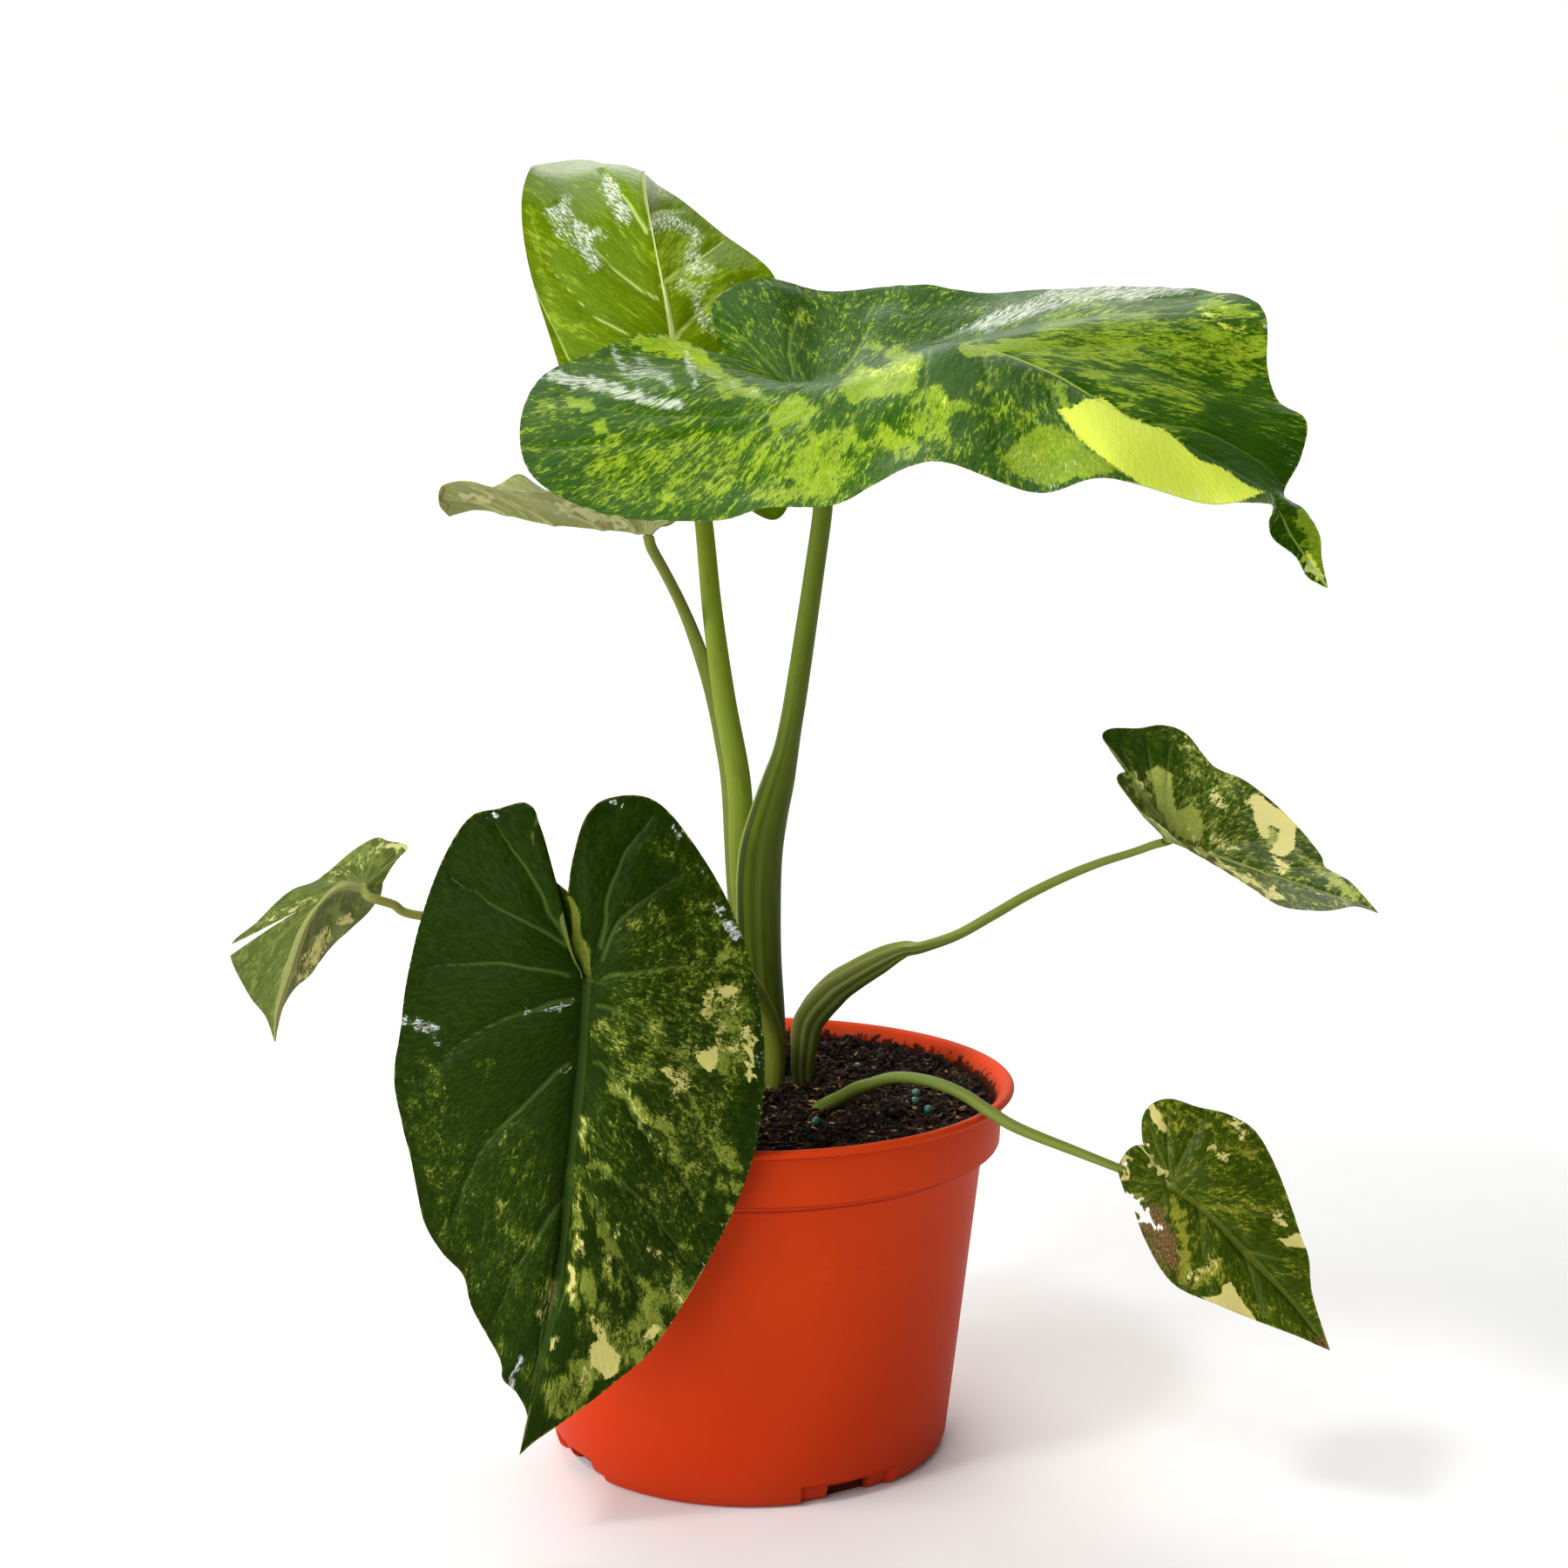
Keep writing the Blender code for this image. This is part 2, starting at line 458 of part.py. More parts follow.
def add_pot(material):
    profile = pot_profile()
    angles = pot_angles()
    points = [(0, 0, 0), (0, 0, FLOOR)]
    for degrees in angles:
        turn = math.radians(degrees)
        for radius, height in profile:
            if in_recess(degrees) and height < RECESS_HEIGHT + RECESS_SHELF:
                radius -= RECESS_DEPTH
            points.append((radius * math.cos(turn), radius * math.sin(turn), height))
    count = len(profile)
    faces = []
    for i in range(len(angles)):
        a = 2 + i * count
        b = 2 + (i + 1) % len(angles) * count
        faces.append((0, b, a))
        faces.append((1, a + count - 1, b + count - 1))
        for k in range(count - 1):
            faces.append((a + k, b + k, b + k + 1))
            faces.append((a + k, b + k + 1, a + k + 1))
    pot = add_object("pot", points, faces, material)
    slots = pot.modifiers.new("Drainage slots", "BOOLEAN")
    slots.operation = "DIFFERENCE"
    slots.object = slot_cutter()


def slot_cutter():
    """Four flat boxes that open the foot of the pot at the middle of each recess."""
    shape = bmesh.new()
    length = LIP_RADIUS - SLOT_INNER_RADIUS
    for turn in range(4):
        angle = math.radians(FIRST_RECESS + 90 * turn)
        box = bmesh.ops.create_cube(shape, size=1)
        for vertex in box["verts"]:
            reach = SLOT_INNER_RADIUS + length * (0.5 + vertex.co.x)
            across = SLOT_WIDTH * vertex.co.y
            height = SLOT_HIGH * 2 * vertex.co.z
            vertex.co = Vector((reach * math.cos(angle) - across * math.sin(angle),
                                reach * math.sin(angle) + across * math.cos(angle), height)) * MM
    return add_cutter("slot_cutter", shape)


def add_cutter(name, shape):
    mesh = bpy.data.meshes.new(name)
    bmesh.ops.recalc_face_normals(shape, faces=shape.faces)
    shape.to_mesh(mesh)
    shape.free()
    cutter = bpy.data.objects.new(name, mesh)
    cutter.hide_render = True
    cutter.display_type = "WIRE"
    bpy.context.collection.objects.link(cutter)
    return cutter


# Soil, crown and fertiliser beads

def soil_height(x, y):
    """Low lumps of the potting mix, slightly mounded in the middle of the pot."""
    broad = 1.1 * math.sin(0.11 * x + 0.6) * math.cos(0.13 * y - 0.4)
    small = 0.6 * math.sin(0.27 * x - 0.21 * y)
    return SOIL_TOP + broad + small - 0.0003 * (x * x + y * y)


def add_soil(material):
    inset = WALL + GAP + FACET_SAG
    low = RECESS_HEIGHT + RECESS_SHELF
    wall = [(54, FLOOR + GAP), (57.6, 4.4), (body_radius(low) - inset - RECESS_DEPTH, low),
            (body_radius(low + 2) - inset, low + 2),
            (body_radius(COLLAR_FOOT - 4) - inset, COLLAR_FOOT - 4), (77.8, COLLAR_FOOT + 2)]
    rings = [78.4, 70, 60, 50, 40, 30, 20, 10]
    steps = 40
    points = [(0, 0, FLOOR + 0.4)]
    for i in range(steps):
        turn = i * math.tau / steps
        for radius, height in wall:
            points.append((radius * math.cos(turn), radius * math.sin(turn), height))
        for radius in rings:
            x, y = radius * math.cos(turn), radius * math.sin(turn)
            points.append((x, y, soil_height(x, y)))
    points.append((0, 0, soil_height(0, 0)))
    count = len(wall) + len(rings)
    faces = []
    for i in range(steps):
        a = 1 + i * count
        b = 1 + (i + 1) % steps * count
        faces.append((0, b, a))
        faces.append((len(points) - 1, a + count - 1, b + count - 1))
        for k in range(count - 1):
            faces.append((a + k, b + k, b + k + 1))
            faces.append((a + k, b + k + 1, a + k + 1))
    soil = add_object("soil", points, faces, material)
    surface = BVHTree.FromPolygons([Vector(p) for p in points], faces)
    wells = (("crown_well", CROWN_PLACE, CROWN_RADIUS + GAP + FACET_SAG, WELL_FLOOR),
             ("side_well", SIDE_WELL_PLACE, SIDE_WELL_RADIUS, SIDE_WELL_FLOOR))
    for name, place, radius, floor in wells:
        well = soil.modifiers.new(name, "BOOLEAN")
        well.operation = "DIFFERENCE"
        well.object = well_cutter(name, place, radius, floor)
    return surface


def well_cutter(name, place, radius, floor):
    shape = bmesh.new()
    height = POT_HEIGHT - floor
    bmesh.ops.create_cone(shape, cap_ends=True, segments=28, radius1=radius * MM, radius2=radius * MM,
                          depth=height * MM)
    middle = Vector((place[0], place[1], floor + height / 2)) * MM
    bmesh.ops.translate(shape, verts=shape.verts, vec=middle)
    return add_cutter(name + "_cutter", shape)


def add_crown(material):
    """The short stem at soil level that the petioles stand on."""
    shape = bmesh.new()
    low = WELL_FLOOR + GAP
    bmesh.ops.create_cone(shape, cap_ends=True, segments=24, radius1=(CROWN_RADIUS - 3) * MM,
                          radius2=CROWN_RADIUS * MM, depth=(CROWN_TOP - low) * MM)
    middle = Vector((CROWN_PLACE[0], CROWN_PLACE[1], (CROWN_TOP + low) / 2)) * MM
    bmesh.ops.translate(shape, verts=shape.verts, vec=middle)
    mesh = bpy.data.meshes.new("crown")
    shape.to_mesh(mesh)
    shape.free()
    mesh.materials.append(material)
    bpy.context.collection.objects.link(bpy.data.objects.new("crown", mesh))


def add_prill(number, place, surface, material):
    """One coated fertiliser bead, set on the soil's own surface under it."""
    down = Vector((0, 0, -1))
    half = PRILL_RADIUS / 2
    highest = 0
    for dx in (-half, 0, half):
        for dy in (-half, 0, half):
            hit = surface.ray_cast(Vector((place[0] + dx, place[1] + dy, POT_HEIGHT)), down)[0]
            highest = max(highest, hit.z)
    shape = bmesh.new()
    bmesh.ops.create_uvsphere(shape, u_segments=10, v_segments=7, radius=PRILL_RADIUS * MM)
    middle = Vector((place[0], place[1], highest + PRILL_RADIUS + GAP)) * MM
    bmesh.ops.translate(shape, verts=shape.verts, vec=middle)
    mesh = bpy.data.meshes.new("prill")
    shape.to_mesh(mesh)
    shape.free()
    mesh.shade_smooth()
    mesh.materials.append(material)
    bpy.context.collection.objects.link(bpy.data.objects.new("prill_%d" % number, mesh))


def main():
    clear_scene()
    add_pot(make_material("pot_plastic", (0.6, 0.06, 0.012), 0.45))
    surface = add_soil(make_material("potting_soil", (0.03, 0.018, 0.012), 0.95))
    add_crown(make_material("crown_bark", (0.09, 0.08, 0.03), 0.8))
    leaf_green = make_material("leaf_green", (0.04, 0.12, 0.01), 0.35)
    stem_green = make_material("stem_green", (0.12, 0.2, 0.03), 0.45)
    for name, leaf in LEAVES.items():
        add_blade(name, leaf, leaf_green)
    for name, petiole in PETIOLES.items():
        add_petiole(name, petiole, stem_green)
    prill_green = make_material("prill_coating", (0.01, 0.2, 0.15), 0.4)
    for number, place in enumerate(PRILL_PLACES, start=1):
        add_prill(number, place, surface, prill_green)


main()
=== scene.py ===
"""A marbled heart-leaved philodendron in its orange nursery pot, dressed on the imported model.

Lengths in the sections are in millimetres and MM turns them into metres, except where said.
"""
import math

import bmesh
import bpy
import numpy as np
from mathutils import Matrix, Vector, noise


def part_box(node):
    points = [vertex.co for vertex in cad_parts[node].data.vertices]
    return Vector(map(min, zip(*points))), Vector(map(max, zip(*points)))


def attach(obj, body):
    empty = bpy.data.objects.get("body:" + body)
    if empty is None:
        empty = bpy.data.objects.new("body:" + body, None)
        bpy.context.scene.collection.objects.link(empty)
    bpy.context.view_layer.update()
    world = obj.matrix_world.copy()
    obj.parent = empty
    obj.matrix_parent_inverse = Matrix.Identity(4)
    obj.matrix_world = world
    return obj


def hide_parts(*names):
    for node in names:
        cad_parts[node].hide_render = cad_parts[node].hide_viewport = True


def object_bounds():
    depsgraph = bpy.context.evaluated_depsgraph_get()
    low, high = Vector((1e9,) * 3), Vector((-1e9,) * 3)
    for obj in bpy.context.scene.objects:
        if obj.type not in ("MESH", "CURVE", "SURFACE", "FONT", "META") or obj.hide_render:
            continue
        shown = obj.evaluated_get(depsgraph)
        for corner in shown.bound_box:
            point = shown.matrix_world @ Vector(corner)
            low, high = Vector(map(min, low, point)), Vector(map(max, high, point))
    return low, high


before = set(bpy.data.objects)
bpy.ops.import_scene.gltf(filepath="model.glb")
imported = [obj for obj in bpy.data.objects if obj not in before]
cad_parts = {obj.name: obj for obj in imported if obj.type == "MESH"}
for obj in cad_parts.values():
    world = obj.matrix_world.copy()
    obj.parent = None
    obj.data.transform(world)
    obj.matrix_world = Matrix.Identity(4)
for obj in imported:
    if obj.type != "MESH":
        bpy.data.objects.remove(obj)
cad_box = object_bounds()
MM = 0.001

# The view. The photograph was taken from in front, a little above the upper leaves, looking down.
# Its frame is 1800 pixels square. Marks on the leaves are placed by where that view shows them.
CAMERA_PLACE = (11, -815, 333.6)
CAMERA_DIP = math.radians(8.3)
FOCAL_PIXELS = 2980
FRAME_PIXELS = 1800
SENSOR = 36


def new_object(name, data):
    made = bpy.data.objects.new(name, data)
    bpy.context.collection.objects.link(made)
    return made


camera = bpy.data.cameras.new("camera")
camera.sensor_width = SENSOR
camera.lens = SENSOR * FOCAL_PIXELS / FRAME_PIXELS
viewer = new_object("camera", camera)
viewer.location = Vector(CAMERA_PLACE) * MM
viewer.rotation_euler = (math.pi / 2 - CAMERA_DIP, 0, 0)
bpy.context.scene.camera = viewer


def in_photograph(points):
    """The pixels at which the photograph shows points given in millimetres."""
    away = np.asarray(points) - CAMERA_PLACE
    depth = away[:, 1] * math.cos(CAMERA_DIP) - away[:, 2] * math.sin(CAMERA_DIP)
    height = away[:, 1] * math.sin(CAMERA_DIP) + away[:, 2] * math.cos(CAMERA_DIP)
    scale = FOCAL_PIXELS / depth
    return np.stack([FRAME_PIXELS / 2 + away[:, 0] * scale, FRAME_PIXELS / 2 - height * scale], axis=1)


# The studio. A white paper sweep lies under the pot and rises behind it. A large soft window light
# stands at the front left, three small lamps put sheen on the leaves, and one lights the sweep.
bpy.context.scene.view_settings.view_transform = "Standard"


class Value:
    """A socket of a finish. Arithmetic on it adds Math nodes."""

    def __init__(self, finish, socket):
        self.finish = finish
        self.socket = socket

    def math(self, operation, *others, clamp=False):
        values = dict(enumerate((self, *others)))
        return self.finish.node("Math", dict(operation=operation, use_clamp=clamp), values)

    def __add__(self, other):
        return self.math("ADD", other)

    def __mul__(self, other):
        return self.math("MULTIPLY", other)

    def __sub__(self, other):
        return self.math("SUBTRACT", other)

    def __rsub__(self, other):
        return self.math("MULTIPLY_ADD", -1, other)

    def __truediv__(self, other):
        return self.math("DIVIDE", other)

    __radd__ = __add__
    __rmul__ = __mul__

    def clamped(self):
        return self.math("ADD", 0, clamp=True)


class Finish:
    """A material under construction, with the shader's constants set first."""

    def __init__(self, name, **constants):
        self.material = bpy.data.materials.new(name)
        self.material.use_nodes = True
        self.tree = self.material.node_tree
        self.shader = self.tree.nodes["Principled BSDF"]
        for socket, value in constants.items():
            self.shader.inputs[socket.replace("_", " ")].default_value = value

    def node(self, kind, settings, sockets, output=0):
        made = self.tree.nodes.new("ShaderNode" + kind)
        for key, value in settings.items():
            setattr(made, key, value)
        for key, value in sockets.items():
            self.feed(made.inputs[key], value)
        return Value(self, made.outputs[output])

    def feed(self, socket, value):
        if isinstance(value, Value):
            self.tree.links.new(value.socket, socket)
        else:
            socket.default_value = value

    def place(self):
        """Where on its object a point lies."""
        return self.node("TexCoord", {}, {}, "Object")

    def given(self, key, output="Fac"):
        """What an attribute of the mesh says at a point."""
        return self.node("Attribute", dict(attribute_name=key), {}, output)

    def noise(self, where, scale, detail=3, roughness=0.5, distortion=0):
        sockets = {"Vector": where, "Scale": scale, "Detail": detail, "Roughness": roughness,
                   "Distortion": distortion}
        return self.node("TexNoise", {}, sockets)

    def mix(self, share, first, second):
        return self.node("Mix", dict(data_type="RGBA"), {0: share, 6: first, 7: second}, 2)

    def stretched(self, where, factors):
        return self.node("VectorMath", dict(operation="MULTIPLY"), {0: where, 1: factors})

    def bump(self, height, strength, distance):
        return self.node("Bump", {}, {"Height": height, "Strength": strength, "Distance": distance})

    def show(self, **sockets):
        for socket, value in sockets.items():
            self.feed(self.shader.inputs[socket.replace("_", " ")], value)
        return self.material


def colour(*shares):
    """A colour as a screen shows it, from 0 to 255, made linear for the shader."""
    return tuple(((c / 255 + 0.055) / 1.055) ** 2.4 if c > 10 else c / 3295 for c in shares) + (1,)


# The sweep, in metres.
SWEEP_FRONT = -2.5
SWEEP_BACK = 1.6
SWEEP_BEND = 0.8
SWEEP_WIDTH = 6
SWEEP_HEIGHT = 4
WORLD_STRENGTH = 0.15

sweep_path = [(SWEEP_FRONT, 0)]
for step in range(13):
    turn = step / 12 * math.pi / 2
    sweep_path.append((SWEEP_BACK + SWEEP_BEND * math.sin(turn), SWEEP_BEND * (1 - math.cos(turn))))
sweep_path.append((SWEEP_BACK + SWEEP_BEND, SWEEP_HEIGHT))
sweep_mesh = bpy.data.meshes.new("sweep")
sweep_points = [(x, y, z) for y, z in sweep_path for x in (-SWEEP_WIDTH / 2, SWEEP_WIDTH / 2)]
sweep_faces = [(2 * i, 2 * i + 1, 2 * i + 3, 2 * i + 2) for i in range(len(sweep_path) - 1)]
sweep_mesh.from_pydata(sweep_points, [], sweep_faces)
sweep_mesh.shade_smooth()
sweep = new_object("sweep", sweep_mesh)
paper = Finish("white_paper", Roughness=0.9)
paper_grain = paper.noise(paper.place(), 40, detail=4)
sweep_mesh.materials.append(paper.show(
    Base_Color=paper.mix(paper_grain, colour(246, 246, 245), colour(250, 250, 249))))

LIGHTS = {
    "window": dict(place=(-1.25, -1.2, 0.9), aim=(0, 0, 0.2), size=2.5, power=35, spread=150),
    "side": dict(place=(-1.5, -0.35, 0.4), aim=(0, 0, 0.12), size=0.6, power=1.3, spread=70),
    "glare": dict(place=(-0.75, -0.8, 1.5), aim=(0, 0, 0.3), size=0.25, power=1.0, spread=60),
    "back": dict(place=(-0.3, 1.3, 1.35), aim=(0.03, 0, 0.3), size=0.8, power=1.0, spread=90),
    "wall": dict(place=(0, 0.9, 2.4), aim=(0, 2.5, 0.7), size=1.6, power=50, spread=180),
}
for name, light in LIGHTS.items():
    lamp = bpy.data.lights.new(name, "AREA")
    lamp.size = light["size"]
    lamp.energy = light["power"]
    lamp.spread = math.radians(light["spread"])
    lamp_object = new_object(name, lamp)
    lamp_object.location = light["place"]
    lamp_aim = Vector(light["aim"]) - Vector(light["place"])
    lamp_object.rotation_euler = lamp_aim.to_track_quat("-Z", "Y").to_euler()
world = bpy.data.worlds.new("studio")
world.use_nodes = True
glow = world.node_tree.nodes["Background"].inputs
glow["Color"].default_value = (1, 1, 1, 1)
glow["Strength"].default_value = WORLD_STRENGTH
bpy.context.scene.world = world


# The pot. It is injection-moulded in one piece: a tapered body, a collar that stands proud of it
# and a rolled lip, with a shallow recess and a drainage slot every quarter turn of the foot.
POT_HEIGHT = 119
LIP_RADIUS = 85
COLLAR_RADIUS = 80.5
COLLAR_FOOT = 101
BODY_TOP = 97
BODY_TOP_RADIUS = 75.4
BODY_FOOT_RADIUS = 63.6
WALL = 1.7
FLOOR = 2
RECESS_HEIGHT = 6.3
RECESS_TOP = 7
RECESS_DEPTH = 2
RECESS_HALF_WIDTH = 16
FIRST_RECESS = math.radians(-60)
SLOT_WIDTH = 15
SLOT_HIGH = 5.2
SLOT_INNER_RADIUS = 57
RECESS_INNER_RADIUS = 57.5
POT_TURNS = 320
SHARP_EDGE = math.radians(38)


def body_radius(height):
    return BODY_FOOT_RADIUS + (BODY_TOP_RADIUS - BODY_FOOT_RADIUS) * height / COLLAR_FOOT


def pot_outline():
    """The pot's cut, from near the middle of its underside, out and up, and down the inside."""
    outside = [(0.5, 0), (20, 0), (40, 0), (57, 0), (60.2, 0), (61.2, 0.2), (62.2, 0.8), (63, 1.5),
               (63.5, 2.4)]
    outside += [(body_radius(height), height)
                for height in (4, RECESS_HEIGHT, RECESS_TOP, RECESS_TOP + 0.5, 20, 50, 80, BODY_TOP)]
    outside += [(75.4, COLLAR_FOOT - 3), (76.2, COLLAR_FOOT - 1.8), (77.4, COLLAR_FOOT - 1.2),
                (79.4, COLLAR_FOOT - 0.9), (80.2, COLLAR_FOOT - 0.6), (COLLAR_RADIUS, COLLAR_FOOT),
                (COLLAR_RADIUS + 0.7, POT_HEIGHT - 3.4)]
    lip = []
    for i in range(13):
        turn = math.radians(-100 + 24 * i)
        lip.append((LIP_RADIUS - 1.45 + 1.45 * math.cos(turn), POT_HEIGHT - 1.35 + 1.35 * math.sin(turn)))
    lip = [point for point in lip if point[0] > LIP_RADIUS - 2.6 or point[1] > POT_HEIGHT - 1.6]
    inside = [(81.6, POT_HEIGHT - 0.6), (80.6, POT_HEIGHT - 1.8), (79.2, POT_HEIGHT - 4),
              (78.5, COLLAR_FOOT + 1.5)]
    inside += [(body_radius(height) - WALL, height)
               for height in (BODY_TOP - 0.5, RECESS_TOP + 0.8, RECESS_TOP - 0.2)]
    inside += [(60.4, 3.6), (58, FLOOR), (30, FLOOR), (0.5, FLOOR)]
    return outside + [(COLLAR_RADIUS + 1.2, POT_HEIGHT - 2.9)] + lip[:9] + inside


class Tree:
    """A geometry tree under construction, whose modifier is applied once its inputs are set."""

    def __init__(self, name, inputs):
        self.tree = bpy.data.node_groups.new(name, "GeometryNodeTree")
        self.tree.interface.new_socket("Geometry", in_out="OUTPUT", socket_type="NodeSocketGeometry")
        self.tree.interface.new_socket("Geometry", in_out="INPUT", socket_type="NodeSocketGeometry")
        self.values = {}
        for label, value in inputs.items():
            kinds = {int: "Int", float: "Float"}
            kind = kinds.get(type(value), "Material")
            socket = self.tree.interface.new_socket(label, in_out="INPUT", socket_type="NodeSocket" + kind)
            self.values[socket.identifier] = value
        self.entry = self.tree.nodes.new("NodeGroupInput")
        self.exit = self.tree.nodes.new("NodeGroupOutput")

    def add(self, kind, settings=None, **sockets):
        made = self.tree.nodes.new(kind)
        for key, value in (settings or {}).items():
            setattr(made, key, value)
        for key, value in sockets.items():
            by_number = key[0] == "n" and key[1:].isdigit()
            socket = made.inputs[int(key[1:]) if by_number else key.replace("_", " ")]
            if isinstance(value, bpy.types.NodeSocket):
                self.tree.links.new(value, socket)
            elif isinstance(value, bpy.types.Node):
                self.tree.links.new(value.outputs[0], socket)
            else:
                socket.default_value = value
        return made

    def math(self, operation, first, second=0.0):
        return self.add("ShaderNodeMath", dict(operation=operation), n0=first, n1=second)

    def applied(self, base, result, name):
        """The tree's result on a base object, as a plain object of its own."""
        self.tree.links.new(result.outputs[0], self.exit.inputs[0])
        modifier = base.modifiers.new("build", "NODES")
        modifier.node_group = self.tree
        for identifier, value in self.values.items():
            modifier[identifier] = value
        graph = bpy.context.evaluated_depsgraph_get()
        mesh = bpy.data.meshes.new_from_object(base.evaluated_get(graph), depsgraph=graph)
        base.modifiers.remove(modifier)
        mesh.name = name
        return new_object(name, mesh)


def plain_object(name, points, edges=(), faces=()):
    mesh = bpy.data.meshes.new(name)
    mesh.from_pydata([Vector(point) * MM for point in points], edges, faces)
    return new_object(name, mesh)


def forget(item):
    bpy.data.objects.remove(item, do_unlink=True)


def pot_finish():
    """Orange-red moulded plastic with faint flow marks, dust, scuffs, darker patches low down and a soil
    line inside, and painted shade: darker towards the foot, thin shadow lines under the collar's step and
    the lip, and near black in the slots and underneath.
    """
    finish = Finish("pot_plastic", Specular_IOR_Level=0.04)
    place = finish.place()
    height = finish.node("SeparateXYZ", {}, {0: place}, "Z")
    clouds = finish.noise(place, 22, detail=4, roughness=0.6)
    flow = finish.noise(finish.stretched(place, (60, 60, 900)), 1, detail=3, roughness=0.7)
    grit = finish.noise(place, 1400, detail=2)
    tone = (clouds - 0.5) * 0.9 + (flow - 0.5) * 0.5 + 0.5
    shade = finish.mix(tone.clamped(), colour(200, 56, 16), colour(216, 68, 22))
    # Painted shade: the pot darkens towards its foot over the lowest 75 mm, as if in the floor's shadow.
    shade = finish.mix(((0.075 - height) * 14).clamped() * 0.75, shade, colour(172, 42, 9))
    middle_away = finish.node("VectorMath", dict(operation="LENGTH"),
                              {0: finish.stretched(place, (1, 1, 0))}, "Value")
    outside = ((middle_away - 0.0803 + (0.112 - height).clamped()) * 3000).clamped()
    # Painted shadow: thin dark lines on the outside under the step up to the collar, at the collar's foot
    # and under the lip.
    for level in (COLLAR_FOOT - 3.1, COLLAR_FOOT - 0.7, POT_HEIGHT - 3.2):
        line = 1.3 - (height - level * MM).math("ABSOLUTE") * 1900
        shade = finish.mix(line.clamped() * outside * 0.6, shade, colour(104, 20, 6))
    scuffs = finish.noise(finish.stretched(place, (120, 120, 40)), 1, detail=6, roughness=0.8)
    scuffs = ((scuffs - 0.74) * 9).clamped()
    shade = finish.mix(scuffs * 0.35, shade, colour(216, 110, 78))
    # Painted shade: below 6 mm and within 58.6 mm of the middle, inside the drainage slots and on the
    # underside, the pot is near black.
    painted_slot_shade = ((0.0586 - middle_away) * 2000).clamped() * ((0.006 - height) * 2000).clamped()
    shade = finish.mix(painted_slot_shade * 0.9, shade, colour(34, 16, 8))
    shade = finish.mix(clouds * (1 - outside) * 0.5, shade, colour(164, 78, 50))
    splashes = finish.noise(place, 230, detail=6, roughness=0.7)
    smears = (0.1156 - height) * 1000 + (splashes - 0.5) * 17
    shade = finish.mix(smears.clamped() * (1 - outside) * 0.94, shade, colour(36, 23, 15))
    # Darker brownish patches over the lowest 16 mm.
    low_dark_patches = ((0.016 - height) * 60).clamped() * finish.noise(place, 90, detail=5)
    shade = finish.mix(low_dark_patches * 0.35, shade, colour(120, 60, 40))
    rough = 0.42 + clouds * 0.12 + scuffs * 0.2
    relief = flow * 0.5 + grit * 0.3 + clouds * 0.4
    return finish.show(Base_Color=shade, Roughness=rough, Normal=finish.bump(relief, 0.12, 0.0004))


def joined_up(item, distance=0.02):
    """Merge an object's doubles and turn its faces outward."""
    shape = bmesh.new()
    shape.from_mesh(item.data)
    bmesh.ops.remove_doubles(shape, verts=shape.verts, dist=distance * MM)
    bmesh.ops.recalc_face_normals(shape, faces=shape.faces)
    shape.to_mesh(item.data)
    shape.free()
    item.data.shade_smooth()
    item.data.set_sharp_from_angle(angle=SHARP_EDGE)


cut = pot_outline()
pot_section = plain_object("pot_section", [(radius, -height, 0) for radius, height in cut],
                           [(i, i + 1) for i in range(len(cut) - 1)])
turned = Tree("turned_pot", {"Turns": POT_TURNS, "First recess": FIRST_RECESS,
                             "Recess half angle": math.asin(RECESS_HALF_WIDTH / BODY_FOOT_RADIUS),
                             "Recess top": (RECESS_TOP - 0.1) * MM,
                             "Recess depth": RECESS_DEPTH * MM, "Material": pot_finish()})
given = turned.entry.outputs
section = turned.add("GeometryNodeMeshToCurve", Mesh=given["Geometry"])
ring = turned.add("GeometryNodeMeshCircle", Vertices=given["Turns"], Radius=1e-5)
ring = turned.add("GeometryNodeMeshToCurve", Mesh=ring)
ring = turned.add("GeometryNodeSetCurveNormal", dict(mode="Z_UP"), Curve=ring)
shell = turned.add("GeometryNodeCurveToMesh", Curve=ring, Profile_Curve=section)
point = turned.add("ShaderNodeSeparateXYZ", Vector=turned.add("GeometryNodeInputPosition"))
x, y, z = (point.outputs[axis] for axis in "XYZ")
angle = turned.math("SUBTRACT", turned.math("ARCTAN2", y, x), given["First recess"])
aside = turned.math("PINGPONG", angle, math.pi / 4)
flat = turned.add("ShaderNodeCombineXYZ", X=x, Y=y)
radius = turned.add("ShaderNodeVectorMath", dict(operation="LENGTH"), n0=flat).outputs["Value"]
inward = turned.math("LESS_THAN", aside, given["Recess half angle"])
for limit in (turned.math("LESS_THAN", z, given["Recess top"]),
              turned.math("GREATER_THAN", radius, RECESS_INNER_RADIUS * MM), given["Recess depth"]):
    inward = turned.math("MULTIPLY", inward, limit)
share = turned.math("DIVIDE", inward, turned.math("MAXIMUM", radius, 0.001))
offset = turned.add("ShaderNodeVectorMath", dict(operation="SCALE"), n0=flat,
                    Scale=turned.math("MULTIPLY", share, -1))
shell = turned.add("GeometryNodeSetPosition", Geometry=shell, Offset=offset)
shell = turned.add("GeometryNodeSetMaterial", Geometry=shell, Material=given["Material"])
pot = turned.applied(pot_section, shell, "pot_shell")
forget(pot_section)
joined_up(pot)

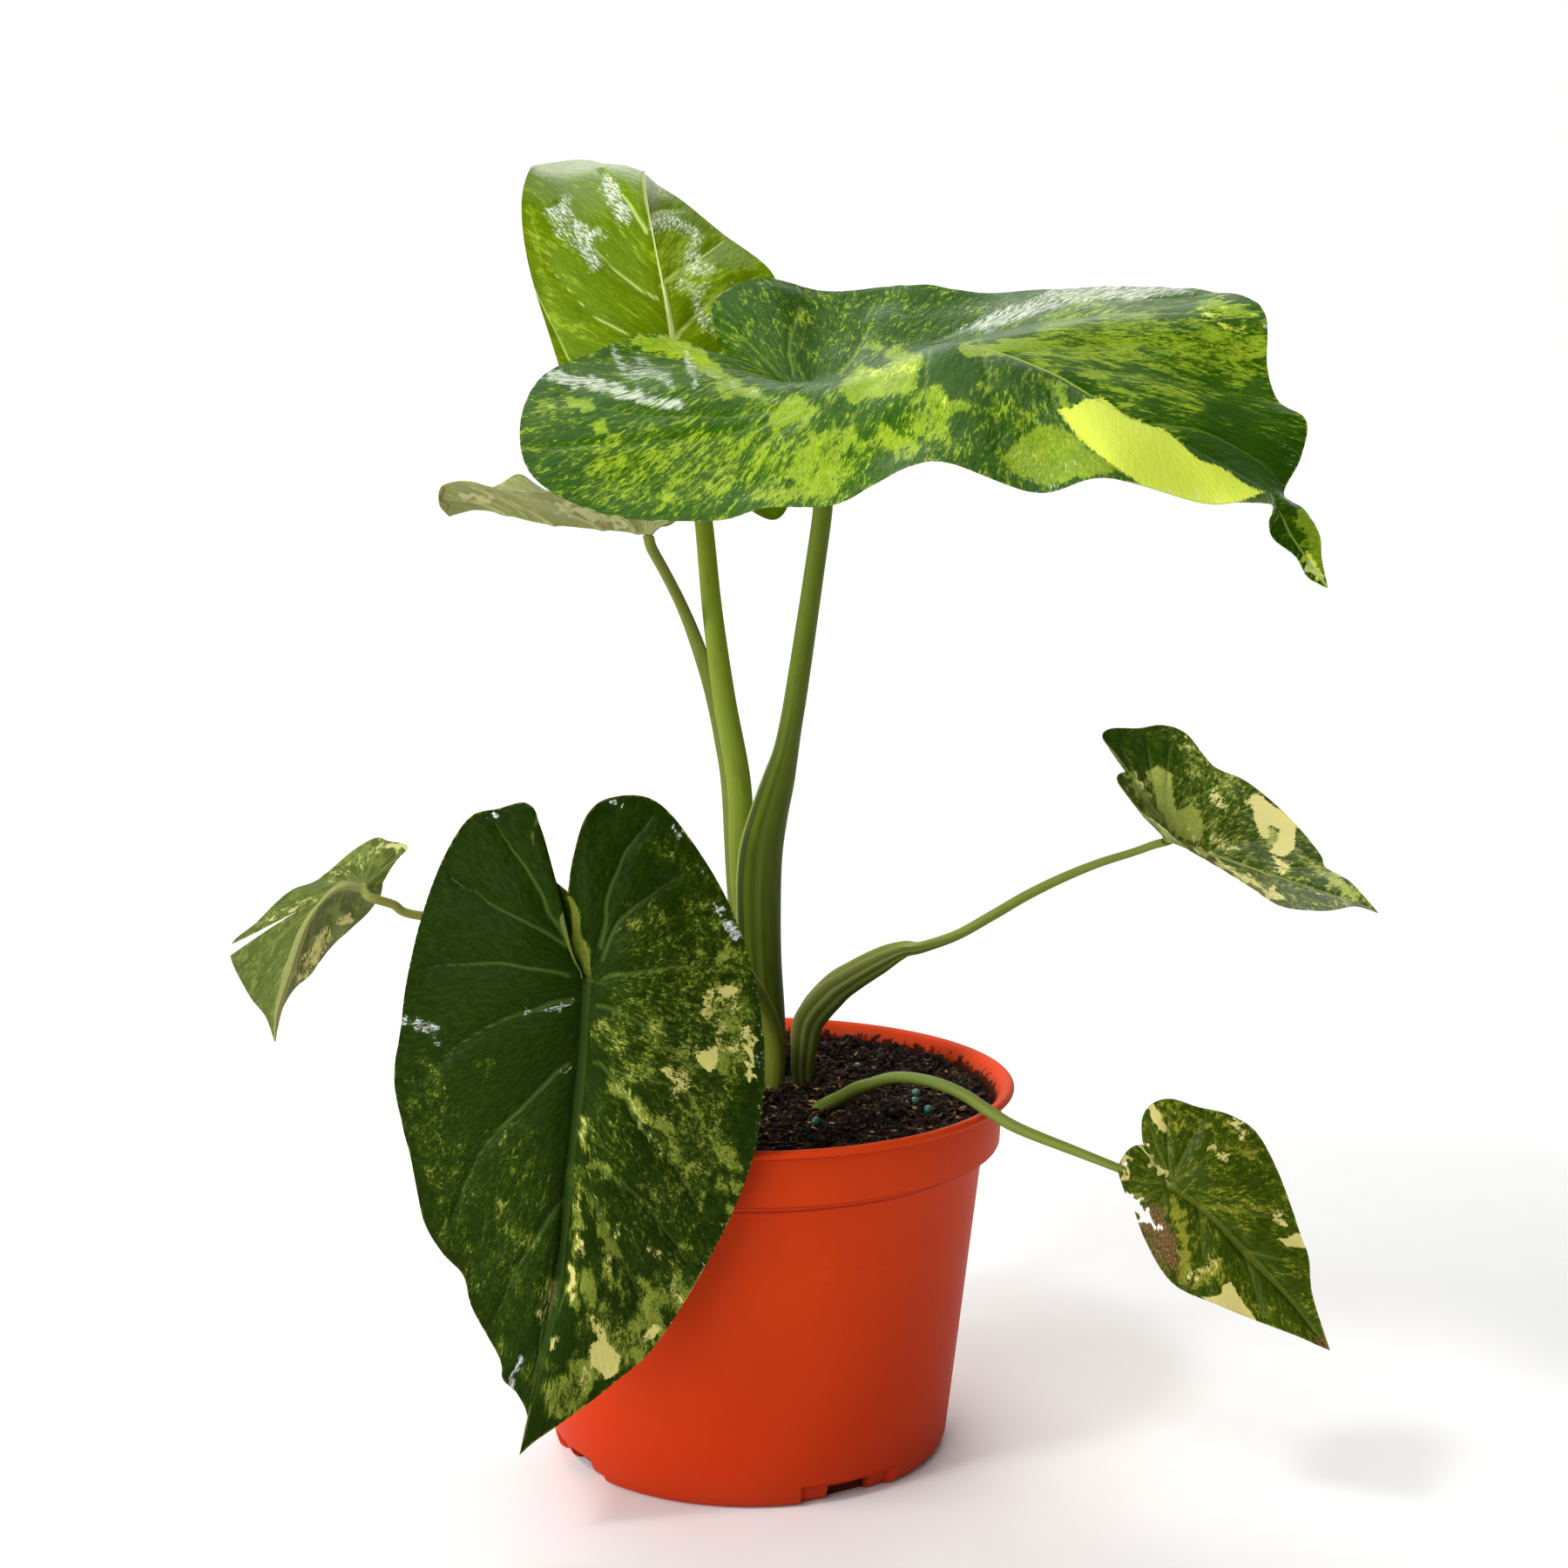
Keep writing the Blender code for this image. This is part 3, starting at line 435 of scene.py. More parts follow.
cutter_points, cutter_faces = [], []
for quarter in range(4):
    turn = FIRST_RECESS + quarter * math.pi / 2
    first = len(cutter_points)
    for height in (-SLOT_HIGH, SLOT_HIGH):
        for reach, side in ((SLOT_INNER_RADIUS, -1), (LIP_RADIUS, -1), (LIP_RADIUS, 1),
                            (SLOT_INNER_RADIUS, 1)):
            across = side * SLOT_WIDTH / 2
            cutter_points.append((reach * math.cos(turn) - across * math.sin(turn),
                                  reach * math.sin(turn) + across * math.cos(turn), height))
    cutter_faces += [tuple(first + i for i in face) for face in (
        (3, 2, 1, 0), (4, 5, 6, 7), (0, 1, 5, 4), (1, 2, 6, 5), (2, 3, 7, 6), (3, 0, 4, 7))]
slot_cutter = plain_object("slot_cutter", cutter_points, faces=cutter_faces)
slots = pot.modifiers.new("slots", "BOOLEAN")
slots.object = slot_cutter
graph = bpy.context.evaluated_depsgraph_get()
pot.data = bpy.data.meshes.new_from_object(pot.evaluated_get(graph))
pot.modifiers.clear()
forget(slot_cutter)
pot.data.set_sharp_from_angle(angle=SHARP_EDGE)
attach(pot, "root")
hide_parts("pot")


# The potting mix. It is a dark peat and bark mix that fills the pot to 8 mm below its lip, and it
# is heaped a little towards the back. Bark crumbs and bent coir fibres lie loose on it.
SOIL_TOP = 110.5
SOIL_INSET = 0.5
SOIL_EDGE = 78.4
SOIL_TURNS = 300
SOIL_RINGS = 96
CROWN_PLACE = (4, 33)
CROWN_RADIUS = 19
CROWN_TOP = 107.4
WELL_FLOOR = 96
WELL_SLACK = 0.5
SIDE_WELL_PLACE = (23.1, -5.8)
SIDE_WELL_RADIUS = 5
SIDE_WELL_FLOOR = 103.7
HEAP = 4.6
CRUMBS_EACH_SQUARE_METRE = 330000.0
FIBRES_EACH_SQUARE_METRE = 100000.0


def soil_height(x, y):
    """The bed's low lumps, as the model has them."""
    broad = 1.1 * math.sin(0.11 * x + 0.6) * math.cos(0.13 * y - 0.4)
    return SOIL_TOP + broad + 0.6 * math.sin(0.27 * x - 0.21 * y) - 0.0003 * (x * x + y * y)


def rough_soil_height(x, y):
    """The bed with lumps, grit, the heap at the back and the wells that the stalks stand in."""
    lumps = noise.fractal(Vector((x, y, 0)) * 0.17, 1.0, 2.0, 3) * 1.5
    grit = noise.fractal(Vector((x, y, 7)) * 0.7, 0.9, 2.1, 3) * 0.7
    heap = np.clip((math.hypot(x, y) - 46) / 30, 0, 1) * np.clip((y + 12) / 40, 0, 1)
    if math.dist((x, y), CROWN_PLACE) < CROWN_RADIUS + WELL_SLACK:
        return WELL_FLOOR
    if math.dist((x, y), SIDE_WELL_PLACE) < SIDE_WELL_RADIUS:
        return SIDE_WELL_FLOOR
    return soil_height(x, y) + lumps + grit + HEAP * heap * heap * (3 - 2 * heap)


def soil_finish(name, dark, brown, pale, share, grain=260):
    """Damp organic matter: near black, with brown and straw-coloured bits."""
    finish = Finish(name, Roughness=0.85, Specular_IOR_Level=0.15)
    place = finish.place()
    bits = finish.noise(place, grain * 1.6, detail=4, roughness=0.7)
    patches = finish.noise(place, grain, detail=2)
    shade = finish.mix(((bits - 0.5) * 5).clamped(), colour(*dark), colour(*brown))
    shade = finish.mix(((patches - (1 - share)) * 14).clamped(), shade, colour(*pale))
    height = bits + finish.noise(place, 2400, detail=4) * 0.6
    return finish.show(Base_Color=shade, Normal=finish.bump(height, 0.8, 0.0006))


def mound(middle, floor, wall, reach, rings, turns, height, top):
    """The points and faces of a round body: a flat foot, a wall and a top that follows a height."""
    points = [(*middle, floor)]
    for i in range(turns):
        turn = i * math.tau / turns
        levels = list(wall) + [(reach * (1 - k / rings), None) for k in range(rings)]
        for radius, level in levels:
            x, y = middle[0] + radius * math.cos(turn), middle[1] + radius * math.sin(turn)
            points.append((x, y, height(x, y) if level is None else level))
    points.append((*middle, top))
    stations = len(wall) + rings
    faces = []
    for i in range(turns):
        a = 1 + i * stations
        b = 1 + (i + 1) % turns * stations
        faces += [(0, b, a), (len(points) - 1, a + stations - 1, b + stations - 1)]
        faces += [(a + k, b + k, b + k + 1, a + k + 1) for k in range(stations - 1)]
    return points, faces


soil_wall = [(54, 2.4), (57.3, 4.4),
             (body_radius(RECESS_TOP) - WALL - SOIL_INSET - RECESS_DEPTH, RECESS_TOP),
             (body_radius(RECESS_TOP + 2) - WALL - SOIL_INSET, RECESS_TOP + 2),
             (body_radius(BODY_TOP) - WALL - SOIL_INSET, BODY_TOP), (77.7, COLLAR_FOOT + 2)]
soil_points, soil_faces = mound((0, 0), 2.4, soil_wall, SOIL_EDGE, SOIL_RINGS, SOIL_TURNS,
                                rough_soil_height, rough_soil_height(0, 0))
soil = plain_object("soil_bed", soil_points, faces=soil_faces)
soil.data.materials.append(soil_finish("soil", (8, 6, 4), (36, 26, 16), (84, 62, 40), 0.34))
soil.data.shade_smooth()
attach(soil, "root")
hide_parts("soil")


def bed_within(radius):
    """The open top of the bed, as far out as a radius."""
    faces = [face for face in soil_faces if min(soil_points[i][2] for i in face) > 104.5
             and max(math.hypot(*soil_points[i][:2]) for i in face) < radius]
    return plain_object("bed", soil_points, faces=faces)


def strewn(tree, bed, name, grain, turn, size, shake):
    """A tree's grains laid all over a bed, with each point of them pushed about by a noise."""
    given = tree.entry.outputs
    spots = tree.add("GeometryNodeDistributePointsOnFaces", Mesh=given["Geometry"],
                     n4=given["Each square metre"], Seed=given["Seed"])
    grains = tree.add("GeometryNodeInstanceOnPoints", Points=spots, Instance=grain, Rotation=turn,
                      Scale=size)
    grains = tree.add("GeometryNodeRealizeInstances", Geometry=grains)
    scale, spread, least = shake
    push = tree.add("ShaderNodeTexNoise", dict(noise_dimensions="3D"), Scale=scale)
    push = tree.add("ShaderNodeVectorMath", dict(operation="MULTIPLY_ADD"), n0=push.outputs["Color"],
                    n1=spread, n2=least)
    grains = tree.add("GeometryNodeSetPosition", Geometry=grains, Offset=push)
    grains = tree.add("GeometryNodeSetMaterial", Geometry=grains, Material=given["Material"])
    layer = tree.applied(bed, grains, name)
    forget(bed)
    return layer


crumb_skin = soil_finish("crumbs", (14, 11, 7), (66, 47, 31), (112, 82, 56), 0.38, 420)
scattered = Tree("scattered_crumbs", {"Each square metre": CRUMBS_EACH_SQUARE_METRE, "Smallest": 0.0005,
                                      "Largest": 0.0026, "Seed": 4, "Material": crumb_skin})
given = scattered.entry.outputs
crumb = scattered.add("GeometryNodeMeshIcoSphere", Radius=1.0, Subdivisions=1)
turn = scattered.add("FunctionNodeRandomValue", dict(data_type="FLOAT_VECTOR"), n1=(6.3, 6.3, 6.3))
size = scattered.add("FunctionNodeRandomValue", dict(data_type="FLOAT"), n2=0.0, n3=1.0, Seed=given["Seed"])
size = scattered.math("POWER", size.outputs[1], 2.6)
size = scattered.math("MULTIPLY", size, scattered.math("SUBTRACT", given["Largest"], given["Smallest"]))
size = scattered.math("ADD", size, given["Smallest"])
stretch = scattered.add("FunctionNodeRandomValue", dict(data_type="FLOAT_VECTOR"), n0=(0.6, 0.6, 0.45),
                        n1=(1.5, 1.2, 0.9), Seed=9)
size = scattered.add("ShaderNodeVectorMath", dict(operation="SCALE"), n0=stretch, Scale=size)
crumb_layer = strewn(scattered, bed_within(SOIL_EDGE - 1.5), "soil_crumbs", crumb, turn, size,
                     (700.0, (0.0008, 0.0008, 0.0008), (-0.0004, -0.0004, -0.0004)))
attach(crumb_layer, "root")

fibre_skin = soil_finish("fibres", (58, 40, 26), (116, 84, 58), (170, 136, 98), 0.42)
matted = Tree("matted_fibres", {"Each square metre": FIBRES_EACH_SQUARE_METRE, "Length": 0.0046,
                                "Thickness": 0.00032, "Seed": 12, "Material": fibre_skin})
given = matted.entry.outputs
strand = matted.add("GeometryNodeCurvePrimitiveLine", dict(mode="DIRECTION"), Start=(0, 0, 0.0006),
                    Direction=(1, 0, 0), Length=given["Length"])
strand = matted.add("GeometryNodeResampleCurve", Curve=strand, Count=8)
profile = matted.add("GeometryNodeCurvePrimitiveCircle", Resolution=3, Radius=given["Thickness"])
strand = matted.add("GeometryNodeCurveToMesh", Curve=strand, Profile_Curve=profile, Fill_Caps=True)
turn = matted.add("FunctionNodeRandomValue", dict(data_type="FLOAT_VECTOR"), n0=(-0.2, -0.12, 0),
                  n1=(0.2, 0.2, 6.3), Seed=3)
size = matted.add("FunctionNodeRandomValue", dict(data_type="FLOAT_VECTOR"), n0=(0.3, 0.6, 0.6),
                  n1=(1.7, 1.5, 1.5), Seed=5)
fibre_layer = strewn(matted, bed_within(SOIL_EDGE - 6), "soil_fibres", strand, turn, size,
                     (260.0, (0.007, 0.007, 0.0034), (-0.0035, -0.0035, -0.0011)))
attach(fibre_layer, "root")


# The crown. The short woody stem at soil level carries the stalks, and bark and soil cling to it.
CROWN_TURNS = 120
CROWN_RINGS = 34


def bark_height(x, y):
    return CROWN_TOP + min(noise.fractal(Vector((x, y, 3)) * 0.3, 0.9, 2.1, 4) * 0.9 - 0.8, 0)


crown_wall = [(CROWN_RADIUS - 3, WELL_FLOOR + 0.35), (CROWN_RADIUS - 1.4, 102),
              (CROWN_RADIUS - 0.3, CROWN_TOP - 2)]
crown_points, crown_faces = mound(CROWN_PLACE, WELL_FLOOR + 0.35, crown_wall, CROWN_RADIUS - 0.5,
                                  CROWN_RINGS, CROWN_TURNS, bark_height, CROWN_TOP - 0.6)
crown = plain_object("crown_stub", crown_points, faces=crown_faces)
crown.data.materials.append(soil_finish("crown_bark", (30, 26, 12), (72, 60, 30), (110, 96, 50), 0.4, 180))
crown.data.shade_smooth()
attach(crown, "root")
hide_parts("crown")


# The fertiliser beads. Each is a round, slightly dented granule with a thin green coat, lying
# loose on the soil.
BEAD_RADIUS = 1.55


def bead_finish():
    finish = Finish("bead_coat", Roughness=0.35, Coat_Weight=0.3)
    place = finish.place()
    cloud = finish.noise(place, 900, detail=3)
    shade = finish.mix(cloud, colour(8, 78, 60), colour(38, 124, 96))
    return finish.show(Base_Color=shade, Normal=finish.bump(cloud, 0.3, 0.0003))


bead_coat = bead_finish()
for number in range(1, 6):
    low_corner, high_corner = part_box("prill_%d" % number)
    middle = (low_corner + high_corner) / 2 / MM
    shape = bmesh.new()
    bmesh.ops.create_icosphere(shape, subdivisions=4, radius=BEAD_RADIUS)
    for vertex in shape.verts:
        dent = noise.noise(vertex.co * 0.9 + Vector((number * 5, 0, 0)))
        vertex.co = (vertex.co * (0.96 + 0.05 * dent) + middle) * MM
    mesh = bpy.data.meshes.new("bead")
    shape.to_mesh(mesh)
    shape.free()
    mesh.shade_smooth()
    mesh.materials.append(bead_coat)
    bead = new_object("bead_%d" % number, mesh)
    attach(bead, "root")
    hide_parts("prill_%d" % number)


# The front leaf. A dark, glossy old blade hangs in front of the pot from the end of its stalk.
# Like every blade here it grows from one midrib as two halves, with the veins sunk in it. Its
# outline is in millimetres along the rib, out and up, and its marks are in photograph pixels.
LEAF_FRONT = dict(
    hub=(-45, -92, 172), tip_dir=(-0.15, 0.01, -0.99), face_dir=(-0.02, -1, 0), rows=(2, 13, 14),
    fine=(12, 48), rib=[(26, 2, 1), (57, 3, 2), (92, 4, 1), (145, 0, -1)],
    left=[
        (-24, -9, -1), (-34, -9, -2), (-46, -7, -3), (-52, -1, -5), (-53, 11, -6), (-43, 23.5, -6),
        (-24, 38.4, -5), (2, 50, -4), (35, 55, -2), (66, 50, -2), (103, 36, -2), (119, 24, -1),
        (134, 10, -1), (140, 4, -1)],
    right=[
        (-24, 9, -1), (-28, 15, -2), (-37, 21, -3), (-44, 21, -4), (-47, 25, -4), (-44, 32, -5),
        (-40, 40, -6), (-27, 46, -7), (-9, 50, -7), (11, 52, -8), (25, 52, -9), (40, 52, -9),
        (53, 48, -9), (68, 42, -8), (80, 38, -7), (89, 31, -6), (95, 24, -6), (104, 20, -5),
        (117, 10, -3), (123, 8, -2), (127, 3, -2), (134, -1, -1)],
    left_veins=((1, 0), (7, 0), (9, 1), (10, 2), (14, 4)),
    right_veins=((1, 0), (9, 0), (14, 0.9), (17, 2.2), (22, 4)), left_swell=(3, 6, 4),
    right_swell=(3, 6, 4))
FRONT_LOOK = dict(
    colours=dict(
        dark=(22, 39, 2), middle=(36, 55, 6), lime=(82, 98, 24), bright=(132, 142, 56),
        cream=(196, 190, 110), vein=(76, 96, 38), rib=(54, 76, 26), under=(104, 118, 52)),
    grain=(0.8, 0.5), quilt=0.9, crisp=5, veil=0.2, rib_width=0.6, rib_strength=0.6, painted_glow=0,
    # The pale colour is that of the painted highlights.
    specular=0.025, vein_strength=0.6, pale=(236, 242, 236),
    veins=[
        ((666, 1105), (640, 1075), (570, 1040), (515, 1010)),
        ((655, 1118), (610, 1110), (540, 1108), (480, 1115)),
        ((662, 1148), (600, 1165), (540, 1190), (480, 1240)),
        ((656, 1222), (600, 1270), (550, 1320), (515, 1400)),
        ((654, 1375), (620, 1415), (585, 1465), (560, 1530)),
        ((656, 1090), (620, 1030), (590, 980), (565, 945)), ((648, 1470), (625, 1530), (604, 1590)),
        ((684, 1090), (700, 1030), (720, 980), (752, 940)),
        ((686, 1100), (705, 1060), (740, 1030), (780, 1005)),
        ((690, 1120), (740, 1112), (800, 1108), (860, 1108)),
        ((683, 1152), (730, 1172), (790, 1222), (845, 1280)),
        ((678, 1218), (704, 1245), (740, 1300), (770, 1335), (808, 1395)),
        ((676, 1336), (720, 1365), (755, 1400), (790, 1450)),
        ((672, 1375), (690, 1400), (710, 1440), (740, 1500))],
    marks=dict(
        lime=[
            (0.46, 56, (810, 1080), (805, 1180), (790, 1340), (725, 1490)),
            (0.4, 30, (722, 1130), (705, 1200), (700, 1330)), (0.24, 60, (800, 1000), (740, 1100)),
            (0.42, 44, (760, 1090), (720, 1180)), (0.4, 20, (730, 1060), (790, 1060)),
            (0.34, 50, (590, 1320), (590, 1480)), (0.36, 36, (490, 1250), (520, 1380)),
            (0.36, 62, (770, 1180), (790, 1260)), (0.34, 60, (800, 1330), (780, 1420)),
            (0.38, 50, (715, 1440), (750, 1480)), (0.52, 20, (700, 1180), (750, 1192)),
            (0.56, 28, (745, 1210), (772, 1240)), (0.6, 34, (836, 1150), (838, 1200)),
            (0.6, 12, (722, 1225), (724, 1235)), (0.85, 8, (707, 1250), (726, 1264), (742, 1285)),
            (0.8, 10, (760, 1288), (768, 1296)), (0.62, 14, (790, 1262), (806, 1278)),
            (0.62, 13, (815, 1300), (842, 1338)), (0.6, 12, (775, 1325), (786, 1345)),
            (0.6, 10, (825, 1360), (848, 1364)), (0.7, 8, (838, 1392), (840, 1404)),
            (0.75, 5, (671, 1285), (668, 1310), (676, 1318)), (0.75, 6, (680, 1335), (696, 1345)),
            (0.5, 18, (670, 1350), (688, 1380)), (0.7, 6, (664, 1370), (662, 1440)),
            (0.85, 7, (690, 1405), (700, 1432), (710, 1440)), (0.85, 8, (696, 1450), (704, 1475)),
            (0.7, 7, (658, 1455), (655, 1490), (664, 1498)), (0.85, 10, (674, 1466), (680, 1492)),
            (0.8, 6, (712, 1460), (716, 1492)), (0.8, 10, (735, 1470), (760, 1492)),
            (0.62, 18, (786, 1462), (776, 1492)), (0.62, 26, (690, 1515), (722, 1526)),
            (0.75, 14, (740, 1510), (755, 1532)), (0.72, 26, (692, 1552), (716, 1560)),
            (0.85, 15, (673, 1570), (668, 1596)), (0.6, 18, (636, 1606), (656, 1614)),
            (0.48, 22, (620, 1570)), (-0.3, 26, (762, 1420), (700, 1500)),
            (0.5, 13, (632, 1470), (625, 1515)), (0.42, 30, (485, 1240)), (0.4, 18, (550, 1232)),
            (0.34, 30, (500, 1370), (545, 1470)), (0.42, 30, (517, 1320)),
            (0.44, 28, (575, 1395), (592, 1420)), (0.38, 32, (600, 1480)), (0.44, 24, (565, 1540)),
            (0.42, 16, (702, 1130), (720, 1150)), (0.36, 26, (770, 970), (810, 1030)),
            (0.5, 16, (835, 1080), (850, 1120))],
        cream=[
            (0.5, 8, (800, 1205), (822, 1206)), (0.85, 5, (860, 1205), (861, 1225), (860, 1236)),
            (0.85, 8, (832, 1137), (840, 1136)), (0.52, 17, (824, 1155), (826, 1178)),
            (0.7, 8, (855, 1182), (862, 1192)), (0.55, 11, (832, 1196), (846, 1202)),
            (0.46, 10, (722, 1222), (724, 1234)), (0.4, 14, (745, 1216)),
            (0.58, 10, (767, 1230), (788, 1240), (775, 1250)),
            (0.5, 7, (707, 1247), (722, 1258), (735, 1280), (742, 1295)),
            (0.6, 3, (744, 1300), (764, 1328)), (0.5, 8, (762, 1285), (770, 1291)),
            (0.4, 10, (745, 1180), (752, 1178)), (0.34, 24, (700, 1180), (745, 1200)),
            (0.36, 14, (785, 1262), (810, 1280)), (0.55, 3.5, (671, 1285), (669, 1310)),
            (0.62, 4.5, (664, 1375), (663, 1386)), (0.62, 4.5, (662, 1410), (663, 1418), (667, 1438)),
            (0.85, 4, (658, 1455), (655, 1490)), (0.55, 6, (695, 1440), (705, 1470)),
            (0.6, 12, (686, 1546), (700, 1566)), (0.64, 6, (680, 1516), (691, 1532)),
            (0.56, 7, (672, 1575), (670, 1590)), (0.75, 8, (744, 1531), (752, 1524)),
            (0.55, 9, (636, 1478), (630, 1500), (622, 1516)), (0.6, 6, (635, 1535), (635, 1546)),
            (0.55, 15, (782, 1474)), (0.62, 6, (775, 1448)), (0.5, 10, (712, 1415)),
            (0.5, 10, (752, 1440))],
        # The pale marks are painted highlights: glints on the margins and along the veins.
        pale=[
            (0.5, 3, (812, 1452), (790, 1490), (770, 1524)),
            (0.56, 4, (600, 1163), (640, 1157), (660, 1149)), (0.56, 3, (643, 1238), (656, 1222)),
            (0.58, 8, (462, 1172), (500, 1182)), (0.45, 5, (500, 1195), (515, 1205)),
            (0.56, 6, (770, 948), (788, 962)), (0.58, 7, (820, 1036), (846, 1076)),
            (0.4, 5, (800, 990), (815, 1020)), (0.58, 5, (583, 1592), (597, 1560)),
            (0.5, 2.5, (864, 1120), (872, 1200), (872, 1275), (864, 1330)),
            (0.6, 4, (560, 937), (576, 933)), (0.6, 4, (704, 921), (718, 924))]),
    patches=dict(
        cream=[
            (1.0, 3, (796, 1214), (808, 1205), (825, 1203), (824, 1222), (815, 1233), (803, 1222)),
            (1.0, 4, (676, 1541), (690, 1536), (703, 1544), (717, 1558), (708, 1576), (696, 1585),
             (688, 1572), (678, 1566))],
        lime=[
            (0.95, 4, (820, 1200), (838, 1203), (836, 1230), (822, 1228)),
            (0.78, 2.5, (651, 1026), (658, 1026), (668, 1060), (677, 1092), (682, 1126), (673, 1126),
             (664, 1096), (655, 1062))]))


# Sizes that every blade shares.
FAR = 1e9
MERGED_WITHIN = 0.004
EVENING_ROUNDS = 10
HOLE_STRAY = 7          # in pixels, as are the strays of marks that follow
FINE_STRAY = 9
BROAD_STRAY = 32
FINE_MARK = 14          # marks narrower than this have the fine stray
PATCH_STRAY = 0.2       # the share of the broad stray that a patch's edge has
CALM_MARGIN = 5
QUILT_REACH = 5
VEIN_DEPTH = 0.5
VEIN_REACH = 0.9
VEIN_DRIFT = 1.2        # mesh lines that a side vein crosses on its way out
VEIN_STATIONS = 14
VEIN_COLUMNS = 200
VEIN_END = 0.97
RIB_DEPTH = 0.7
RIB_RIDGE = 0.55
BLADE_THICKNESS = 0.5
BLADE_SHARP_EDGE = math.radians(62)


def curve_through(points, places):
    """The smooth curve through points, read at places counted in points."""
    points = np.asarray(points, float)
    ends = (2 * points[0] - points[1], 2 * points[-1] - points[-2])
    points = np.vstack([ends[0], points, ends[1]])
    start = np.clip(np.asarray(places).astype(int), 0, len(points) - 4)
    part = (places - start)[..., None]
    a, b, c, d = (points[start + i] for i in range(4))
    return b + 0.5 * part * (c - a + part * (2 * a - 5 * b + 4 * c - d + part * (3 * (b - c) + d - a)))


def eased(places, stops):
    """Values between stops, level at each of them."""
    xs, ys = zip(*stops)
    at = np.interp(places, xs, range(len(xs)))
    start = np.clip(at.astype(int), 0, len(xs) - 2)
    part = at - start
    ys = np.array(ys, float)
    return ys[start] + (ys[start + 1] - ys[start]) * part * part * (3 - 2 * part)


def blade_lines(leaf, side, rows, columns, direction=0):
    """The points of a half's mesh lines. A direction gives the line at the tear one of its lips."""
    sign = 1 if side == "left" else -1
    margin = [(along, sign * out, lift) for along, out, lift in leaf[side]] + [leaf["rib"][-1]]
    margin = np.array(margin, float)
    veins = leaf[side + "_veins"]
    web_rows, fan_rows, rib_rows = leaf["rows"]
    fan_row = web_rows + fan_rows
    rib_places = np.clip((rows - fan_row) / rib_rows, 0, 1) * len(leaf["rib"])
    beyond = np.interp(rib_places, [rib for _, rib in veins[1:]], [place for place, _ in veins[1:]])
    within = np.interp(rows, [0, web_rows, fan_row], [0, veins[0][0], veins[1][0]])
    places = np.where(rows <= fan_row, within, beyond)
    inner = curve_through([(0, 0, 0)] + leaf["rib"], rib_places)
    web = places < veins[0][0]
    inner[web] = margin[0] * (1 - places[web, None] / veins[0][0])
    parts = np.linspace(0, 1, columns + 1)
    shift = np.zeros((len(rows), len(parts)))
    if direction:
        tear = leaf["tear"]
        near = np.clip(1 - np.abs(rows - tear["row"]), 0, 1)
        shift = direction * tear["spread"] * near[:, None] * np.clip(parts - tear["start"], 0, 1)
    outer = curve_through(margin, places[:, None] + shift)
    points = inner[:, None] * (1 - parts[:, None]) + outer * parts[:, None]
    lobe, shoulder, tip = leaf[side + "_swell"]
    fan_end, last = veins[1][0], veins[-1][0]
    swell = eased(places, [(0, 0), (fan_end / 2, lobe), (fan_end, shoulder), ((fan_end + last) / 2, tip),
                           (last, 0)])
    full_at_third = 6.75
    points[..., 2] += swell[:, None] * full_at_third * parts * (1 - parts) ** 2
    return points


def away_from(points, line):
    """How far points lie from a line through given places, and where along it, from 0 to 1."""
    line = np.asarray(line * 2 if len(line) == 1 else line, float)
    nearest = np.full(len(points), FAR)
    place = np.zeros(len(points))
    for i, (start, end) in enumerate(zip(line, line[1:])):
        run = end - start
        part = np.clip((points - start) @ run / max(run @ run, 1e-9), 0, 1)
        away = np.linalg.norm(points - start - part[:, None] * run, axis=1)
        closer = away < nearest
        nearest[closer] = away[closer]
        place[closer] = (i + part[closer]) / (len(line) - 1)
    return nearest, place


def blade_sheet(leaf):
    """A blade's upper face: its points, their flow along and across the veins, and its faces."""
    row_steps, columns = leaf["fine"]
    total = sum(leaf["rows"])
    tear = leaf.get("tear", dict(side=None))
    width = columns + 1
    points, flow, faces = [], [], []
    for side, sign, shift in (("left", 1, 300), ("right", -1, 0)):
        spans = [(0, total, 0)]
        if side == tear["side"]:
            spans = [(0, tear["row"], -1), (tear["row"], total, 1)]
        for first, last, direction in spans:
            rows = np.linspace(first, last, (last - first) * row_steps + 1)
            lines = blade_lines(leaf, side, rows, columns, direction)
            start = sum(len(p) for p in points)
            for r in range(len(rows) - 1):
                for c in range(columns):
                    a = start + r * width + c
                    quad = (a, a + width, a + width + 1, a + 1)
                    faces.append(quad if side == "left" else quad[::-1])
            middle = lines[:, int(columns * 0.6)]
            along = np.concatenate([[0], np.cumsum(np.linalg.norm(np.diff(middle, axis=0), axis=1))])
            steps = np.linalg.norm(np.diff(lines, axis=1), axis=2)
            out = np.concatenate([np.zeros((len(rows), 1)), np.cumsum(steps, axis=1)], axis=1)
            streams = (along[:, None] + shift, out * sign, rows[:, None])
            points.append(lines.reshape(-1, 3))
            flow.append(np.stack([np.broadcast_to(s, out.shape) for s in streams], axis=2).reshape(-1, 3))
    points = np.concatenate(points)
    flow = np.concatenate(flow)
    _, index, inverse = np.unique(np.round(points / MERGED_WITHIN).astype(int), axis=0, return_index=True,
                                  return_inverse=True)
    inverse = inverse.reshape(-1)
    merged = [tuple(dict.fromkeys(inverse[list(face)])) for face in faces]
    return points[index], flow[index], [face for face in merged if len(face) > 2]


def edges_of(faces):
    """A sheet's edges as its faces run along them, and those with a face on one side only."""
    edges = {(a, b) for face in faces for a, b in zip(face, face[1:] + face[:1])}
    return edges, [(a, b) for a, b in edges if (b, a) not in edges]


